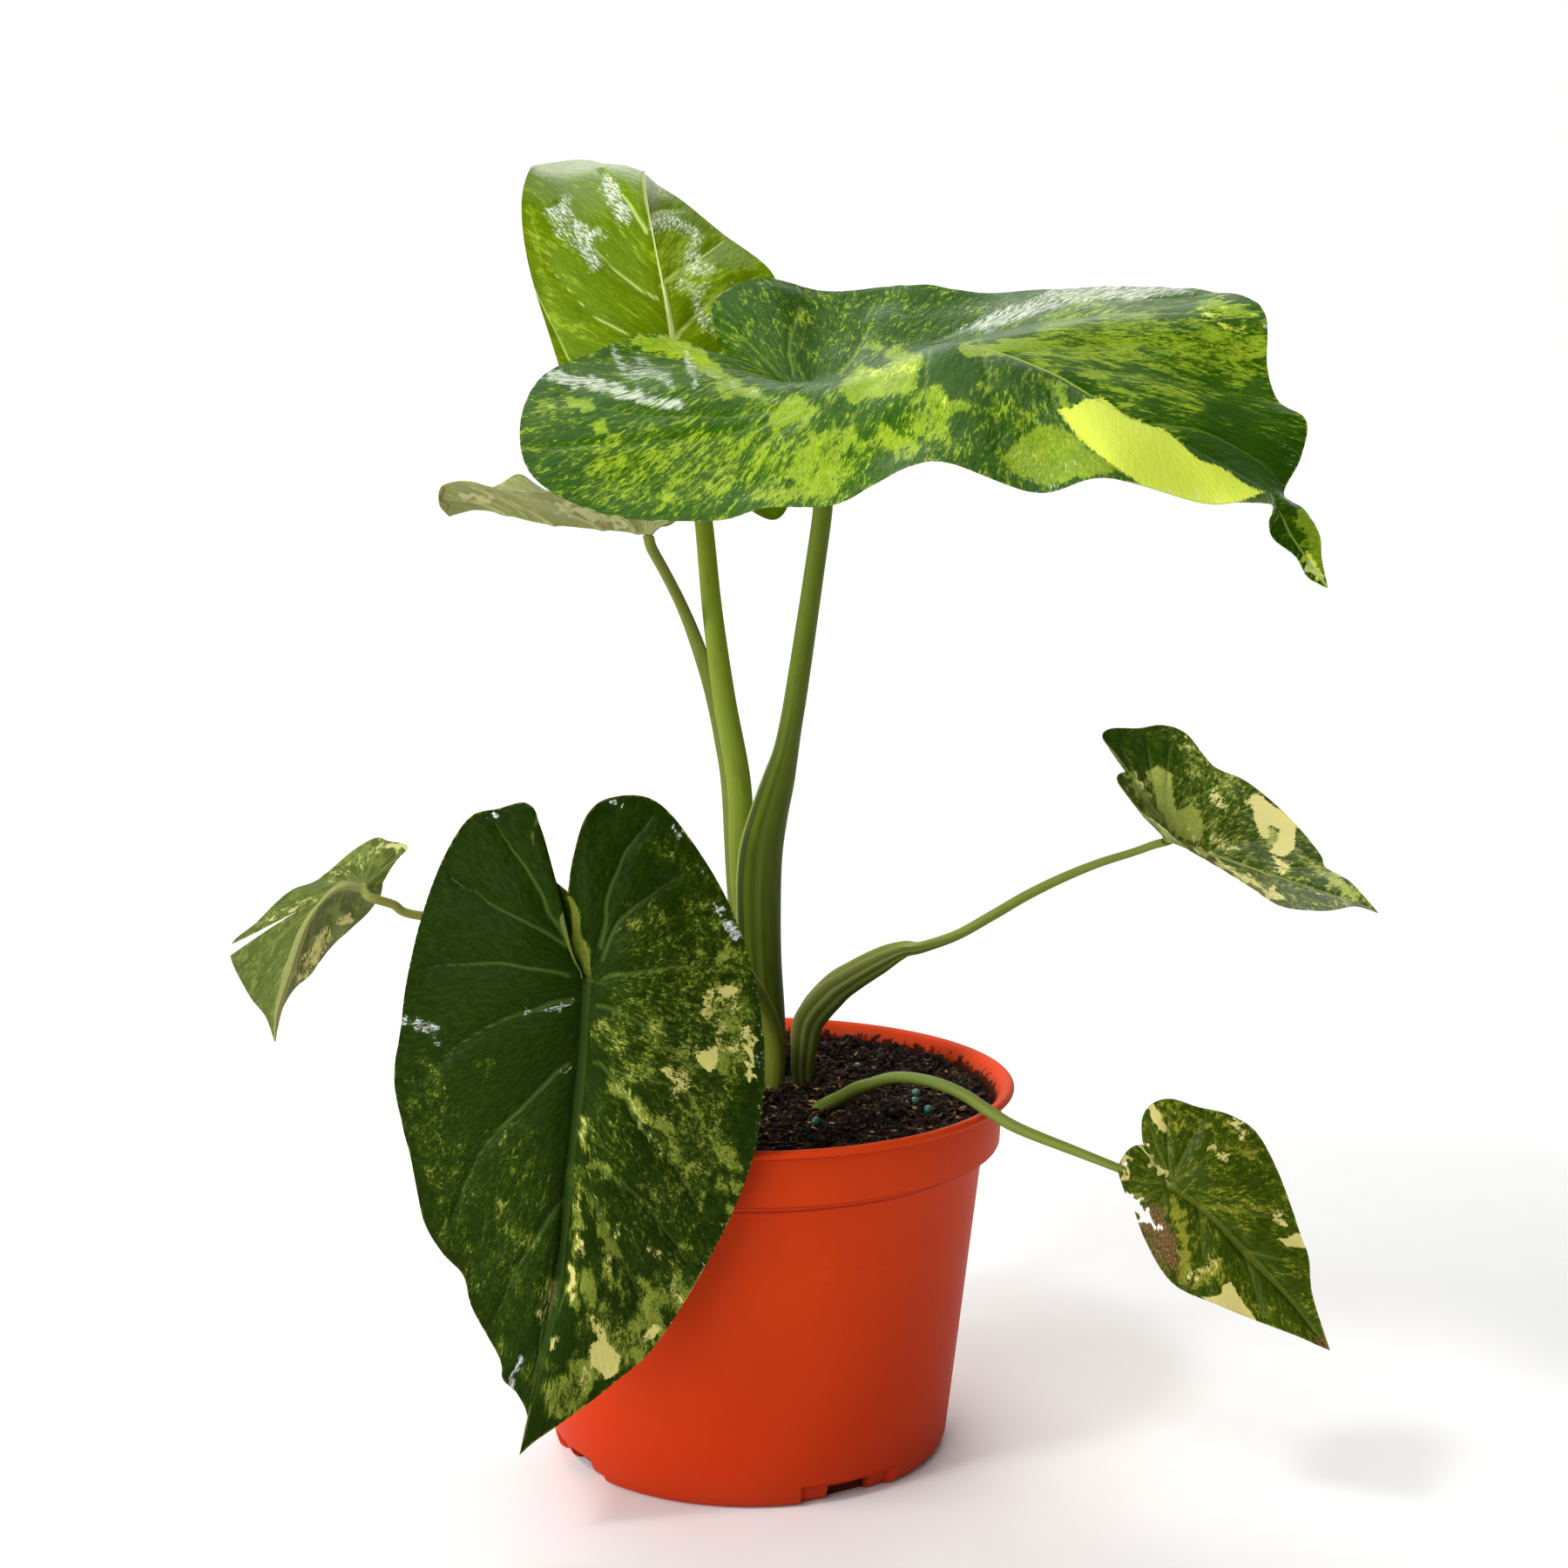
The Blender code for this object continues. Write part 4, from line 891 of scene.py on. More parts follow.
def evened(points, flow, faces):
    """A sheet's points evened out, with its margin and its midrib held."""
    edges, rims = edges_of(faces)
    pairs = np.array([(a, b) for a, b in edges if a < b or (b, a) not in edges])
    held = np.abs(flow[:, 1]) < 1e-6
    held[np.unique(rims)] = True
    counts = np.zeros(len(points))
    np.add.at(counts, pairs.ravel(), 1)
    for _ in range(EVENING_ROUNDS):
        sums = np.zeros_like(points)
        np.add.at(sums, pairs[:, 0], points[pairs[:, 1]])
        np.add.at(sums, pairs[:, 1], points[pairs[:, 0]])
        moved = points + 0.5 * (sums / counts[:, None] - points)
        points = np.where(held[:, None], points, moved)
    return points


def strayed(seen, size):
    """Places in the photograph pushed about by a noise of a given width and strength."""
    stray = [[noise.noise(Vector((x / size, y / size, k))) for k in (0, 9)] for x, y in seen]
    return seen + np.array(stray) * size


def vein_distance(leaf, look, points, placed):
    """How far points lie from the nearest side vein, in widths of a vein that thins outward."""
    seen = in_photograph(placed)
    nearest = np.full(len(points), 30.0)
    for line in look.get("veins", ()):
        path = []
        for spot in curve_through(line, np.linspace(0, len(line) - 1, 5 * len(line))):
            away = np.linalg.norm(seen - spot, axis=1)
            facing = np.where(away < max(4, away.min() + 1), placed[:, 1], FAR)
            path.append(points[np.argmin(facing)])
        path = np.array(path)
        path[1:-1] = (path[:-2] + path[1:-1] * 2 + path[2:]) / 4
        away, place = away_from(points, path)
        nearest = np.minimum(nearest, away / (1.15 - 0.8 * place))
    parts = np.linspace(0, VEIN_END, VEIN_STATIONS)
    for side in ("left", "right"):
        for row in look.get("laterals", ()):
            rows = row + VEIN_DRIFT * (parts - 0.3 * parts ** 2)
            lines = blade_lines(leaf, side, rows, VEIN_COLUMNS)
            line = np.array([lines[i, int(VEIN_COLUMNS * part)] for i, part in enumerate(parts)])
            away, place = away_from(points, line)
            nearest = np.minimum(nearest, away / (1.15 - place))
    return nearest


def outward(points, faces):
    """A sheet's normals at its points, weighted by the size of the faces round them."""
    corners = np.array([(face + face[-1:])[:4] for face in faces])
    a, b, c, d = (points[corners[:, k]] for k in range(4))
    crosses = np.cross(c - a, d - b)
    three = np.array([len(face) == 3 for face in faces])
    crosses[three] = np.cross(b[three] - a[three], c[three] - a[three])
    normals = np.zeros_like(points)
    for k in range(4):
        np.add.at(normals, corners[:, k], crosses)
    return normals / np.maximum(np.linalg.norm(normals, axis=1), 1e-9)[:, None]


def cover_of(mark, look, seen, near, broad):
    """How much of the skin a kind of mark covers at each point, from 0 to 1."""
    cover = np.full(len(seen), float(look.get("ground", {}).get(mark, 0)))
    for strength, radius, *line in look["marks"].get(mark, ()):
        away = away_from(near if radius < FINE_MARK else broad, line)[0]
        soft = np.clip((1.9 - away / radius) / 1.7, 0, 1)
        soft *= soft * (3 - 2 * soft)
        cover = np.maximum(cover, strength * soft) if strength > 0 else cover * (1 + strength * soft)
    places = seen * (1 - PATCH_STRAY) + broad * PATCH_STRAY
    for strength, softness, *corners in look.get("patches", {}).get(mark, ()):
        ring = np.array(corners + corners[:1], float)
        away = away_from(places, ring)[0]
        inside = np.zeros(len(places), bool)
        for (x0, y0), (x1, y1) in zip(ring, ring[1:]):
            crossing = (y0 > places[:, 1]) != (y1 > places[:, 1])
            inside ^= crossing & (places[:, 0] < (x1 - x0) * (places[:, 1] - y0) / (y1 - y0 + 1e-9) + x0)
        soft = np.clip(0.5 + np.where(inside, away, -away) / (2 * softness), 0, 1)
        cover = np.maximum(cover, strength * soft)
    return cover


def give(mesh, key, values):
    """Give a mesh's points an attribute, of one number or of a vector each."""
    kind, field = ("FLOAT_VECTOR", "vector") if values.ndim > 1 else ("FLOAT", "value")
    attribute = mesh.attributes.new(key, kind, "POINT")
    attribute.data.foreach_set(field, values.astype(np.float32).ravel())


def blade(node, leaf, look):
    """A finished blade: the sheet evened out, pierced, given its relief, thickened and marked."""
    points, flow, faces = blade_sheet(leaf)
    points = evened(points, flow, faces)
    along = np.array(leaf["tip_dir"], float) / np.linalg.norm(leaf["tip_dir"])
    face = np.array(leaf["face_dir"], float)
    face -= along * (face @ along)
    face /= np.linalg.norm(face)
    axes = np.stack([along, np.cross(face, along), face])
    for radius, *line in look.get("holes", ()):
        away = away_from(strayed(in_photograph(points @ axes + leaf["hub"]), HOLE_STRAY), line)[0]
        faces = [face for face in faces if not all(away[corner] < radius for corner in face)]
    used = sorted({corner for face in faces for corner in face})
    index = {corner: place for place, corner in enumerate(used)}
    points, flow = points[used], flow[used]
    faces = [tuple(index[corner] for corner in face) for face in faces]
    rims = edges_of(faces)[1]

    rib_line = curve_through([(0, 0, 0)] + leaf["rib"], np.linspace(0, len(leaf["rib"]), 60))
    rib_away, rib_place = away_from(points, rib_line)
    vein_away = vein_distance(leaf, look, points, points @ axes + leaf["hub"])
    rim_away = np.full(len(points), FAR)
    for spot in points[np.unique(rims)][::3]:
        rim_away = np.minimum(rim_away, np.linalg.norm(points - spot, axis=1))

    quilt = look["quilt"]
    calm = 1 - np.exp(-(rim_away / CALM_MARGIN) ** 2)
    ripple = np.array([noise.noise(Vector(point) * 0.045) for point in points]) * look.get("ripple", 1.0)
    relief = quilt * (1 - np.exp(-(np.minimum(vein_away, rib_away) / QUILT_REACH) ** 2))
    relief -= VEIN_DEPTH * np.exp(-(vein_away / VEIN_REACH) ** 2)
    rib_width = (1.9 - 1.2 * rib_place) * look["rib_width"]
    groove = RIB_DEPTH * np.exp(-(rib_away / (rib_width + 0.6)) ** 2)
    relief -= groove - RIB_RIDGE * np.exp(-(rib_away / (rib_width * 0.55)) ** 2)
    relief = (relief - quilt * 0.6 + ripple) * calm
    normals = outward(points, faces)
    upper = (points + normals * relief[:, None]) @ axes + leaf["hub"]
    lower = upper - (normals * (BLADE_THICKNESS * (0.5 + 0.5 * calm))[:, None]) @ axes
    lowest, highest = (np.array(corner) / MM for corner in cad_box)
    upper, lower = (np.clip(layer, lowest + 0.001, highest - 0.001) for layer in (upper, lower))

    count = len(points)
    all_faces = faces + [tuple(c + count for c in face[::-1]) for face in faces]
    all_faces += [(b, a, a + count, b + count) for a, b in rims]
    all_points = [tuple(point) for point in np.concatenate([upper, lower])]
    item = plain_object(node + "_blade", all_points, faces=all_faces)
    mesh = item.data
    mesh.shade_smooth()
    mesh.set_sharp_from_angle(angle=BLADE_SHARP_EDGE)
    values = dict(rib_away=rib_away / np.maximum(rib_width, 0.3), vein_away=np.minimum(vein_away, 20),
                  rim_away=np.minimum(rim_away, 20))
    seen = in_photograph(upper)
    near, broad = strayed(seen, FINE_STRAY), strayed(seen, BROAD_STRAY)
    # The pale cover is where highlights are painted on.
    for mark in ("lime", "cream", "brown", "pale"):
        values[mark] = cover_of(mark, look, seen, near, broad)
    for key, value in values.items():
        give(mesh, key, np.concatenate([value, value]))
    give(mesh, "under", np.repeat([0.0, 1.0], count))
    give(mesh, "flow", np.concatenate([flow, flow]))
    mesh.materials.append(leaf_finish(node + "_skin", look))
    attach(item, "root")
    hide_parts(node)


def leaf_finish(name, look):
    """A marbled leaf skin: streaks of lime and cream along the veins, waxy above, matt below, with painted
    highlights from its pale marks and a faint painted glow for light through it.
    """
    tones = {key: colour(*value) for key, value in look["colours"].items()}
    # The emission set here is a painted glow of the skin's own colour, standing in for light shining
    # through the blade.
    finish = Finish(name, Specular_IOR_Level=look.get("specular", 0.06), Coat_Roughness=0.12,
                    Emission_Strength=look.get("painted_glow", 0.04))
    place = finish.place()
    flow = finish.given("flow", "Vector")

    def marbling(across, along, start, distortion=0.5):
        """Fractal blotches stretched along the veins, spread evenly from 0 to 1."""
        where = finish.node("VectorMath", dict(operation="MULTIPLY_ADD"),
                            {0: flow, 1: (across, along, 0), 2: (start, start, start)})
        return (finish.noise(where, 1, detail=9, roughness=0.7, distortion=distortion) - 0.5) * 2.6 + 0.5

    def covered(blotches, cover, crisp):
        """Where blotches reach, when about a given share of the skin is to be covered."""
        return ((blotches - (1.12 - cover * 1.24)) * crisp).clamped()

    across, along = look["grain"]
    blotches = marbling(across, along, 3)
    finer = marbling(across * 2.6, along * 2.4, 11)
    broad = marbling(across * 0.3, along * 0.4, 23)
    crisp = look.get("crisp", 7)
    depth = ((marbling(across, along * 0.6, 41) - 0.3) * 1.6).clamped()
    shade = finish.mix(depth, tones["dark"], tones["middle"])
    lime = finish.given("lime")
    patchy = lime + (broad - 0.5) * lime * (1 - lime) * 1.8
    veil = finish.mix(0.45, tones["middle"], tones["lime"])
    veiled = patchy + look.get("veil", 0.14) * (lime * 6).clamped()
    shade = finish.mix(covered(finer * 0.4 + blotches * 0.6, veiled, crisp * 0.5), shade, veil)
    limed = covered(blotches * 0.62 + finer * 0.38, patchy, crisp)
    bright = finish.mix((finer * 1.6 + broad * 0.8 - 0.7).clamped(), tones["lime"],
                        tones.get("bright", tones["lime"]))
    shade = finish.mix(limed, shade, bright)
    cream = finish.given("cream")
    creamy = cream + (broad - 0.5) * cream * (1 - cream) * 1.6
    creamed = covered(finer * 0.55 + blotches * 0.45, creamy, crisp * 1.3)
    shade = finish.mix(creamed, shade, tones["cream"])
    vein = (1.2 - finish.given("vein_away") * 1.3).clamped()
    shade = finish.mix(vein * look.get("vein_strength", 0.5), shade, tones["vein"])
    rib = ((1.1 - finish.given("rib_away")) * 3).clamped()
    shade = finish.mix(rib * look.get("rib_strength", 0.9), shade, tones["rib"])
    browned = covered(finer * 0.5 + blotches * 0.5, finish.given("brown"), 4)
    burnt = finish.mix((finer * 1.6 - 0.4).clamped(), colour(48, 34, 16),
                       colour(*look.get("brown", (120, 88, 44))))
    shade = finish.mix(browned, shade, burnt)
    edge = (1.1 - finish.given("rim_away") * 1.6).clamped()
    shade = finish.mix(edge * 0.5, shade, colour(*look.get("edge", (150, 140, 70))))
    # Painted highlights: the pale marks are mixed into the upper face as white streaky glints and glare.
    streaks = marbling(*look.get("painted_highlight", (1.1, 0.12)), 57, 0.3)
    painted_highlight = covered(streaks * 0.6 + finer * 0.4, finish.given("pale"), 3.2)
    under = finish.given("under")
    shade = finish.mix(painted_highlight * (1 - under) * 0.9, shade, colour(*look.get("pale", (212, 220, 200))))
    shade = finish.mix(under * look.get("under_share", 0.55), shade, tones["under"])
    specks = finish.noise(place, 620, detail=2, roughness=0.6)
    shade = finish.mix(((specks - 0.74) * 14).clamped() * 0.7, shade, colour(36, 34, 20))
    grain = finish.noise(place, 1000, detail=3, roughness=0.6)
    blisters = finish.noise(finish.stretched(flow, (0.5, 0.32, 0)), 1, detail=3, roughness=0.6)
    ribs = finish.noise(finish.stretched(flow, (1.1, 0.05, 0)), 1, detail=2)
    rough = look.get("roughness", 0.26) + (grain - 0.5) * 0.1 + under * 0.3 + creamed * 0.08
    relief = grain * 0.2 + ribs * 0.6 + blisters * look.get("blisters", 1.2)
    # The emission colour is the skin's own, for the painted glow.
    return finish.show(Base_Color=shade, Roughness=rough.clamped(), Emission_Color=shade,
                       Normal=finish.bump(relief, 0.4, 0.0006))


blade("leaf_front", LEAF_FRONT, FRONT_LOOK)


CAD_BLADE_THICKNESS = 0.8
SEAT_GAP = 0.35
STALK_SHARP_EDGE = math.radians(60)


def stalk(name, leaf, top_dir, path, look):
    """A leaf stalk lofted along its stations: round below, crowned above or a trough."""
    along = Vector(leaf["tip_dir"]).normalized()
    face = Vector(leaf["face_dir"])
    face = (face - along * face.dot(along)).normalized()
    slopes = [-lift / math.hypot(a, out)
              for a, out, lift in (leaf["rib"][0], leaf["left"][0], leaf["right"][0])]
    drop = CAD_BLADE_THICKNESS + SEAT_GAP + max(0, *slopes) * path[-1][3]
    seat = Vector(leaf["hub"]) - face * drop
    path = path + [(*seat, *path[-1][3:])]
    rings, sides = look["rings"], look.get("sides", 32)
    places = np.linspace(0, len(path) - 1, rings + 1)
    stations = curve_through(path, places)
    steps = np.gradient(stations[:, :3], axis=0)
    tangents = steps / np.linalg.norm(steps, axis=1)[:, None]
    root = np.clip(1 - places / 0.6, 0, 1)[:, None]
    end = np.clip(1 - (len(path) - 1 - places) / 0.7, 0, 1)[:, None]
    tangents = tangents * (1 - root) * (1 - end) + np.array((0, 0, 1)) * root + np.array(face) * end
    tangents /= np.linalg.norm(tangents, axis=1)[:, None]
    top_dir = np.array(top_dir, float)
    top = top_dir - tangents * (tangents @ top_dir)[:, None]
    top /= np.linalg.norm(top, axis=1)[:, None]
    side = np.cross(top, tangents)
    angles = np.arange(sides) * math.tau / sides
    lift = np.where(np.sin(angles) > 0, stations[:, 5:6], stations[:, 4:5]) * np.sin(angles)
    points = (stations[:, None, :3] + side[:, None] * (np.cos(angles) * stations[:, 3:4])[..., None]
              + top[:, None] * lift[..., None])
    lengths = np.concatenate([[0], np.cumsum(np.linalg.norm(np.diff(stations[:, :3], axis=0), axis=1))])
    faces = [tuple(reversed(range(sides)))]
    for i in range(rings):
        for k in range(sides):
            a, b = i * sides + k, i * sides + (k + 1) % sides
            faces.append((a, b, b + sides, a + sides))
    faces.append(tuple(range(rings * sides, (rings + 1) * sides)))
    item = plain_object(name + "_flesh", [tuple(p) for p in points.reshape(-1, 3)], faces=faces)
    mesh = item.data
    mesh.shade_smooth()
    mesh.set_sharp_from_angle(angle=STALK_SHARP_EDGE)
    flow = np.zeros((rings + 1, sides, 3))
    flow[..., 0] = lengths[:, None]
    flow[..., 1] = np.cos(angles)
    flow[..., 2] = np.sin(angles)
    give(mesh, "flow", flow.reshape(-1, 3))
    hollow = np.clip(-stations[:, 5:6] / 1.5, 0, 1)
    rim = hollow * np.exp(-(np.sin(angles) / 0.12) ** 2)
    inside = hollow * (np.sin(angles) > 0.1)
    give(mesh, "rim", rim.ravel())
    give(mesh, "inside", inside.ravel())
    mesh.materials.append(stalk_finish(name + "_skin", look, lengths[-1]))
    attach(item, "root")
    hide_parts(name)


def stalk_finish(name, look, length):
    """A fleshy green stalk with fine ribs along it, paler sheath edges and small dark flecks, and bands
    round a sheath: painted shade in its grooves, painted highlights on its ridges and its own brown.
    """
    finish = Finish(name, Specular_IOR_Level=0.1)
    place = finish.place()
    flow = finish.given("flow", "Vector")
    along = finish.node("SeparateXYZ", {}, {0: flow}, "X") / float(length)
    line = finish.noise(finish.stretched(flow, (0.016, 6, 6)), 1, detail=5, roughness=0.65)
    cloud = finish.noise(finish.stretched(flow, (0.08, 1.2, 1.2)), 1, detail=4)
    shade = finish.mix(along.clamped(), colour(*look["low"]), colour(*look["high"]))
    shade = finish.mix(((line - 0.42) * 5).clamped() * 0.45, shade, colour(*look["stripe"]))
    shade = finish.mix(((cloud - 0.55) * 5).clamped() * 0.35, shade, colour(*look["blush"]))
    # Painted light and shade: dark bands are painted shade in a sheath's grooves and pale bands painted
    # highlights on its ridges; a brown band is the sheath's own colour.
    for degrees, width, strength, band in look.get("bands", ()):
        turn = math.radians(degrees)
        facing = finish.node("VectorMath", dict(operation="DOT_PRODUCT"),
                             {0: flow, 1: (0, math.cos(turn), math.sin(turn))}, "Value")
        close = (facing - math.cos(math.radians(width * 1.5))) / (1 - math.cos(math.radians(width)))
        band_share = close.clamped() * ((0.62 - along) * 5).clamped() * strength
        shade = finish.mix(band_share, shade, colour(*band))
    inside = finish.given("inside")
    shade = finish.mix(inside * 0.6, shade, colour(*look.get("inner", look["stripe"])))
    rim = finish.given("rim")
    shade = finish.mix(rim.clamped() * 0.8, shade, colour(*look.get("edge", (176, 178, 110))))
    flecks = finish.noise(place, 900, detail=2)
    shade = finish.mix(((flecks - 0.7) * 12).clamped() * 0.5, shade, colour(46, 40, 16))
    rough = 0.33 + cloud * 0.15
    return finish.show(Base_Color=shade, Roughness=rough,
                       Normal=finish.bump(line + flecks * 0.15, 0.35, 0.0005))


stalk(
    "petiole_front", LEAF_FRONT, (0.3, 0.2, 0.9),
    path=[
        (8, 21, 107.8, 3.8, 3.2, 1), (8, 16, 129, 4, 3.2, 1), (3, 8, 145, 3.8, 3.2, 1),
        (-7, -10, 163, 3.2, 3, 1.5), (-21, -36, 176, 2.7, 2.7, 2), (-35, -64, 179, 2.5, 2.5, 2),
        (-43, -82, 174, 2.3, 2.3, 1.8)],
    look=dict(
        rings=110, low=(84, 96, 22), high=(150, 166, 60), stripe=(150, 160, 70), blush=(80, 96, 26)))


# The top leaf. The largest blade lies nearly flat at the top of its stalk, and its far half rises
# behind the near one. It is green with broad lime and pale streaks, and the whitest of them, a gloss
# band and a sheen, are painted highlights. Its stalk is the thickest and opens low down into a sheath
# that wraps the younger stalks.
LEAF_TOP = dict(
    hub=(19, 10, 337), tip_dir=(0.87, -0.5, 0), face_dir=(0, 0, 1), rows=(2, 13, 26), fine=(8, 56),
    rib=[
        (25, -6, 4), (53, -9, 15), (84, -12, 8), (113, -11, -7), (129, -9, -16), (151, -1, -29),
        (159, 0, -41), (169, 2, -55)],
    left=[
        (-10, -3, -4), (-20, 2, 3), (-37, 11, 12), (-47, 19, 22), (-52, 30, 32), (-45, 49, 39),
        (-30, 66, 35), (-5, 82, 37), (22, 93, 34), (58, 98, 36), (97, 85, 33), (124, 66, 27),
        (132, 51, 8), (138, 44, -2), (148, 41, -8), (150, 31, -19), (150, 17, -29), (158, 11, -33),
        (164, 8, -40), (166, 5, -47)],
    right=[
        (-10, 3, -4), (-20, 0, 3), (-35, 0, 13), (-55, 6, 19), (-68, 22, 13), (-72, 44, 5),
        (-60, 72, -10), (-43, 88, -25), (-17, 88, -35), (15, 83, -36), (31, 81, -32), (51, 78, -31),
        (63, 75, -25), (73, 73, -20), (84, 71, -19), (107, 63, -27), (123, 53, -23), (144, 35, -30),
        (152, 26, -30), (159, 17, -31), (156, 12, -36), (156, 8, -41), (161, 3, -46), (164, 1, -52)],
    left_veins=((1, 0), (6, 0), (14, 3), (16, 6), (20, 8)),
    right_veins=((1, 0), (7, 0), (15, 3), (19, 6), (24, 8)), left_swell=(-2, -4, 2),
    right_swell=(2, 12, 4))
TOP_LOOK = dict(
    colours=dict(
        dark=(34, 70, 4), middle=(54, 90, 12), lime=(100, 130, 20), bright=(144, 168, 40),
        cream=(204, 220, 74), vein=(120, 148, 56), rib=(160, 182, 66), under=(116, 130, 70)),
    ground=dict(lime=0.4), quilt=0.4, ripple=1.2, crisp=5, grain=(0.75, 0.19), specular=0.02,
    # The glow set here is painted light, for light shining through the blade.
    painted_glow=0.06, rib_width=0.7, edge=(178, 192, 112),
    veins=[
        ((920, 350), (908, 400), (918, 440), (930, 458)), ((850, 380), (885, 415), (922, 455)),
        ((985, 395), (962, 430), (940, 456)), ((1000, 345), (990, 390), (965, 430)),
        ((1075, 386), (1140, 360), (1220, 345), (1370, 338)),
        ((1075, 390), (1150, 372), (1260, 356), (1400, 352)),
        ((1205, 412), (1300, 424), (1400, 452), (1488, 486)),
        ((1160, 400), (1250, 392), (1360, 400), (1450, 430)),
        ((1300, 478), (1380, 492), (1440, 520), (1470, 548)),
        ((1066, 396), (1060, 440), (1072, 480), (1080, 515)),
        ((1206, 430), (1216, 470), (1250, 510), (1290, 545)),
        ((1130, 398), (1140, 450), (1150, 500), (1170, 545)),
        ((925, 458), (870, 448), (800, 415), (740, 396)),
        ((922, 462), (820, 478), (720, 470), (640, 452)),
        ((922, 466), (820, 500), (700, 508), (610, 512)), ((930, 470), (850, 520), (760, 565)),
        ((940, 462), (930, 510), (910, 560)), ((990, 440), (975, 490), (965, 545))],
    marks=dict(
        lime=[
            (0.54, 70, (700, 540), (860, 530), (960, 540)), (0.66, 24, (1046, 462), (1084, 484)),
            (0.55, 13, (1497, 602), (1508, 644)), (0.72, 22, (936, 510), (940, 560)),
            (0.7, 14, (895, 475), (925, 482)), (0.85, 16, (985, 435), (1050, 425)),
            (0.8, 14, (975, 500), (990, 510)), (0.7, 14, (1020, 508), (1045, 505)),
            (0.62, 12, (870, 568), (960, 566)), (0.95, 9, (735, 392), (775, 396), (805, 410)),
            (0.9, 7, (800, 412), (835, 436), (868, 452)), (0.85, 8, (655, 461), (676, 465)),
            (0.85, 8, (684, 487), (694, 494)), (0.7, 8, (618, 464), (626, 466)),
            (0.8, 8, (828, 444), (836, 452)), (0.5, 24, (840, 470), (900, 478)),
            (0.42, 34, (890, 370), (960, 380)), (0.9, 8, (1106, 400), (1144, 403)),
            (0.9, 8, (1150, 398), (1206, 396)), (0.7, 8, (1190, 410), (1212, 425)),
            (0.74, 16, (1075, 462), (1100, 472)), (0.6, 16, (1076, 500), (1092, 512)),
            (0.5, 36, (1130, 450), (1180, 480)), (0.74, 12, (1385, 352), (1430, 360)),
            (0.66, 10, (1330, 392), (1356, 396)), (0.7, 7, (1244, 428), (1272, 432)),
            (0.62, 12, (1318, 448), (1352, 454)), (0.6, 50, (1230, 385), (1420, 400)),
            (0.54, 26, (1280, 440), (1420, 470)), (-0.6, 14, (1076, 412), (1100, 440)),
            (-0.5, 30, (1400, 505), (1470, 540)), (1.0, 9, (1498, 590), (1512, 625), (1518, 645)),
            (0.45, 20, (960, 350), (1040, 350)), (0.75, 9, (1215, 445), (1225, 470), (1250, 500)),
            (0.7, 9, (1000, 395), (1050, 415))],
        cream=[
            (0.7, 8, (1498, 640), (1516, 662)), (0.5, 14, (1385, 356), (1430, 362)),
            (0.4, 12, (1075, 462), (1100, 470)), (0.45, 12, (985, 432), (1050, 420))],
        # The pale marks are painted highlights: a gloss band on the left lobe and patches of sheen.
        pale=[
            (0.64, 11, (628, 430), (684, 441), (738, 457), (779, 466)),
            (0.58, 14, (702, 402), (740, 425), (776, 438)), (0.62, 8, (790, 410), (800, 440)),
            (0.55, 8, (1200, 340), (1350, 334)), (0.6, 6, (1500, 648), (1516, 664)),
            (0.35, 20, (640, 545), (670, 575)), (0.4, 14, (1340, 562), (1400, 570)),
            (0.55, 5, (800, 425), (870, 451)), (0.4, 18, (1462, 500), (1490, 525)),
            (0.5, 6, (1450, 362), (1456, 385)), (0.42, 26, (1165, 530), (1215, 545)),
            (0.45, 12, (1330, 564), (1400, 572))]),
    patches=dict(
        lime=[
            (0.8, 7, (975, 440), (1000, 420), (1058, 408), (1061, 430), (1050, 452), (1012, 458),
             (985, 458)),
            (0.72, 7, (932, 492), (985, 484), (992, 505), (968, 520), (958, 560), (930, 570), (915, 560),
             (935, 525)),
            (0.8, 6, (878, 478), (922, 470), (925, 488), (890, 496)),
            (0.8, 6, (1012, 498), (1056, 494), (1050, 514), (1018, 516)),
            (0.75, 6, (890, 560), (972, 553), (965, 573), (900, 575)),
            (0.8, 5, (1076, 450), (1088, 452), (1090, 474), (1078, 475)),
            (1.0, 4, (1222, 468), (1262, 463), (1315, 493), (1351, 515), (1405, 547), (1440, 568),
             (1405, 586), (1355, 584), (1315, 566), (1278, 535), (1242, 506)),
            (0.86, 8, (1142, 525), (1183, 488), (1219, 484), (1251, 511), (1296, 538), (1265, 547),
             (1210, 560), (1160, 547))],
        cream=[
            (0.97, 5, (1214, 470), (1236, 462), (1264, 458), (1318, 486), (1354, 508), (1408, 540),
             (1452, 566), (1405, 586), (1355, 584), (1315, 564), (1278, 533), (1238, 505)),
            (0.34, 12, (1150, 525), (1183, 492), (1219, 488), (1251, 511), (1286, 534), (1240, 542),
             (1200, 550))],
        # The pale patch is a painted sheen, a whitish streaked fan on the far half.
        pale=[
            (0.62, 9, (1064, 393), (1150, 346), (1220, 324), (1300, 318), (1362, 320), (1382, 340),
             (1300, 349), (1210, 361), (1140, 383))]))
blade("leaf_top", LEAF_TOP, TOP_LOOK)
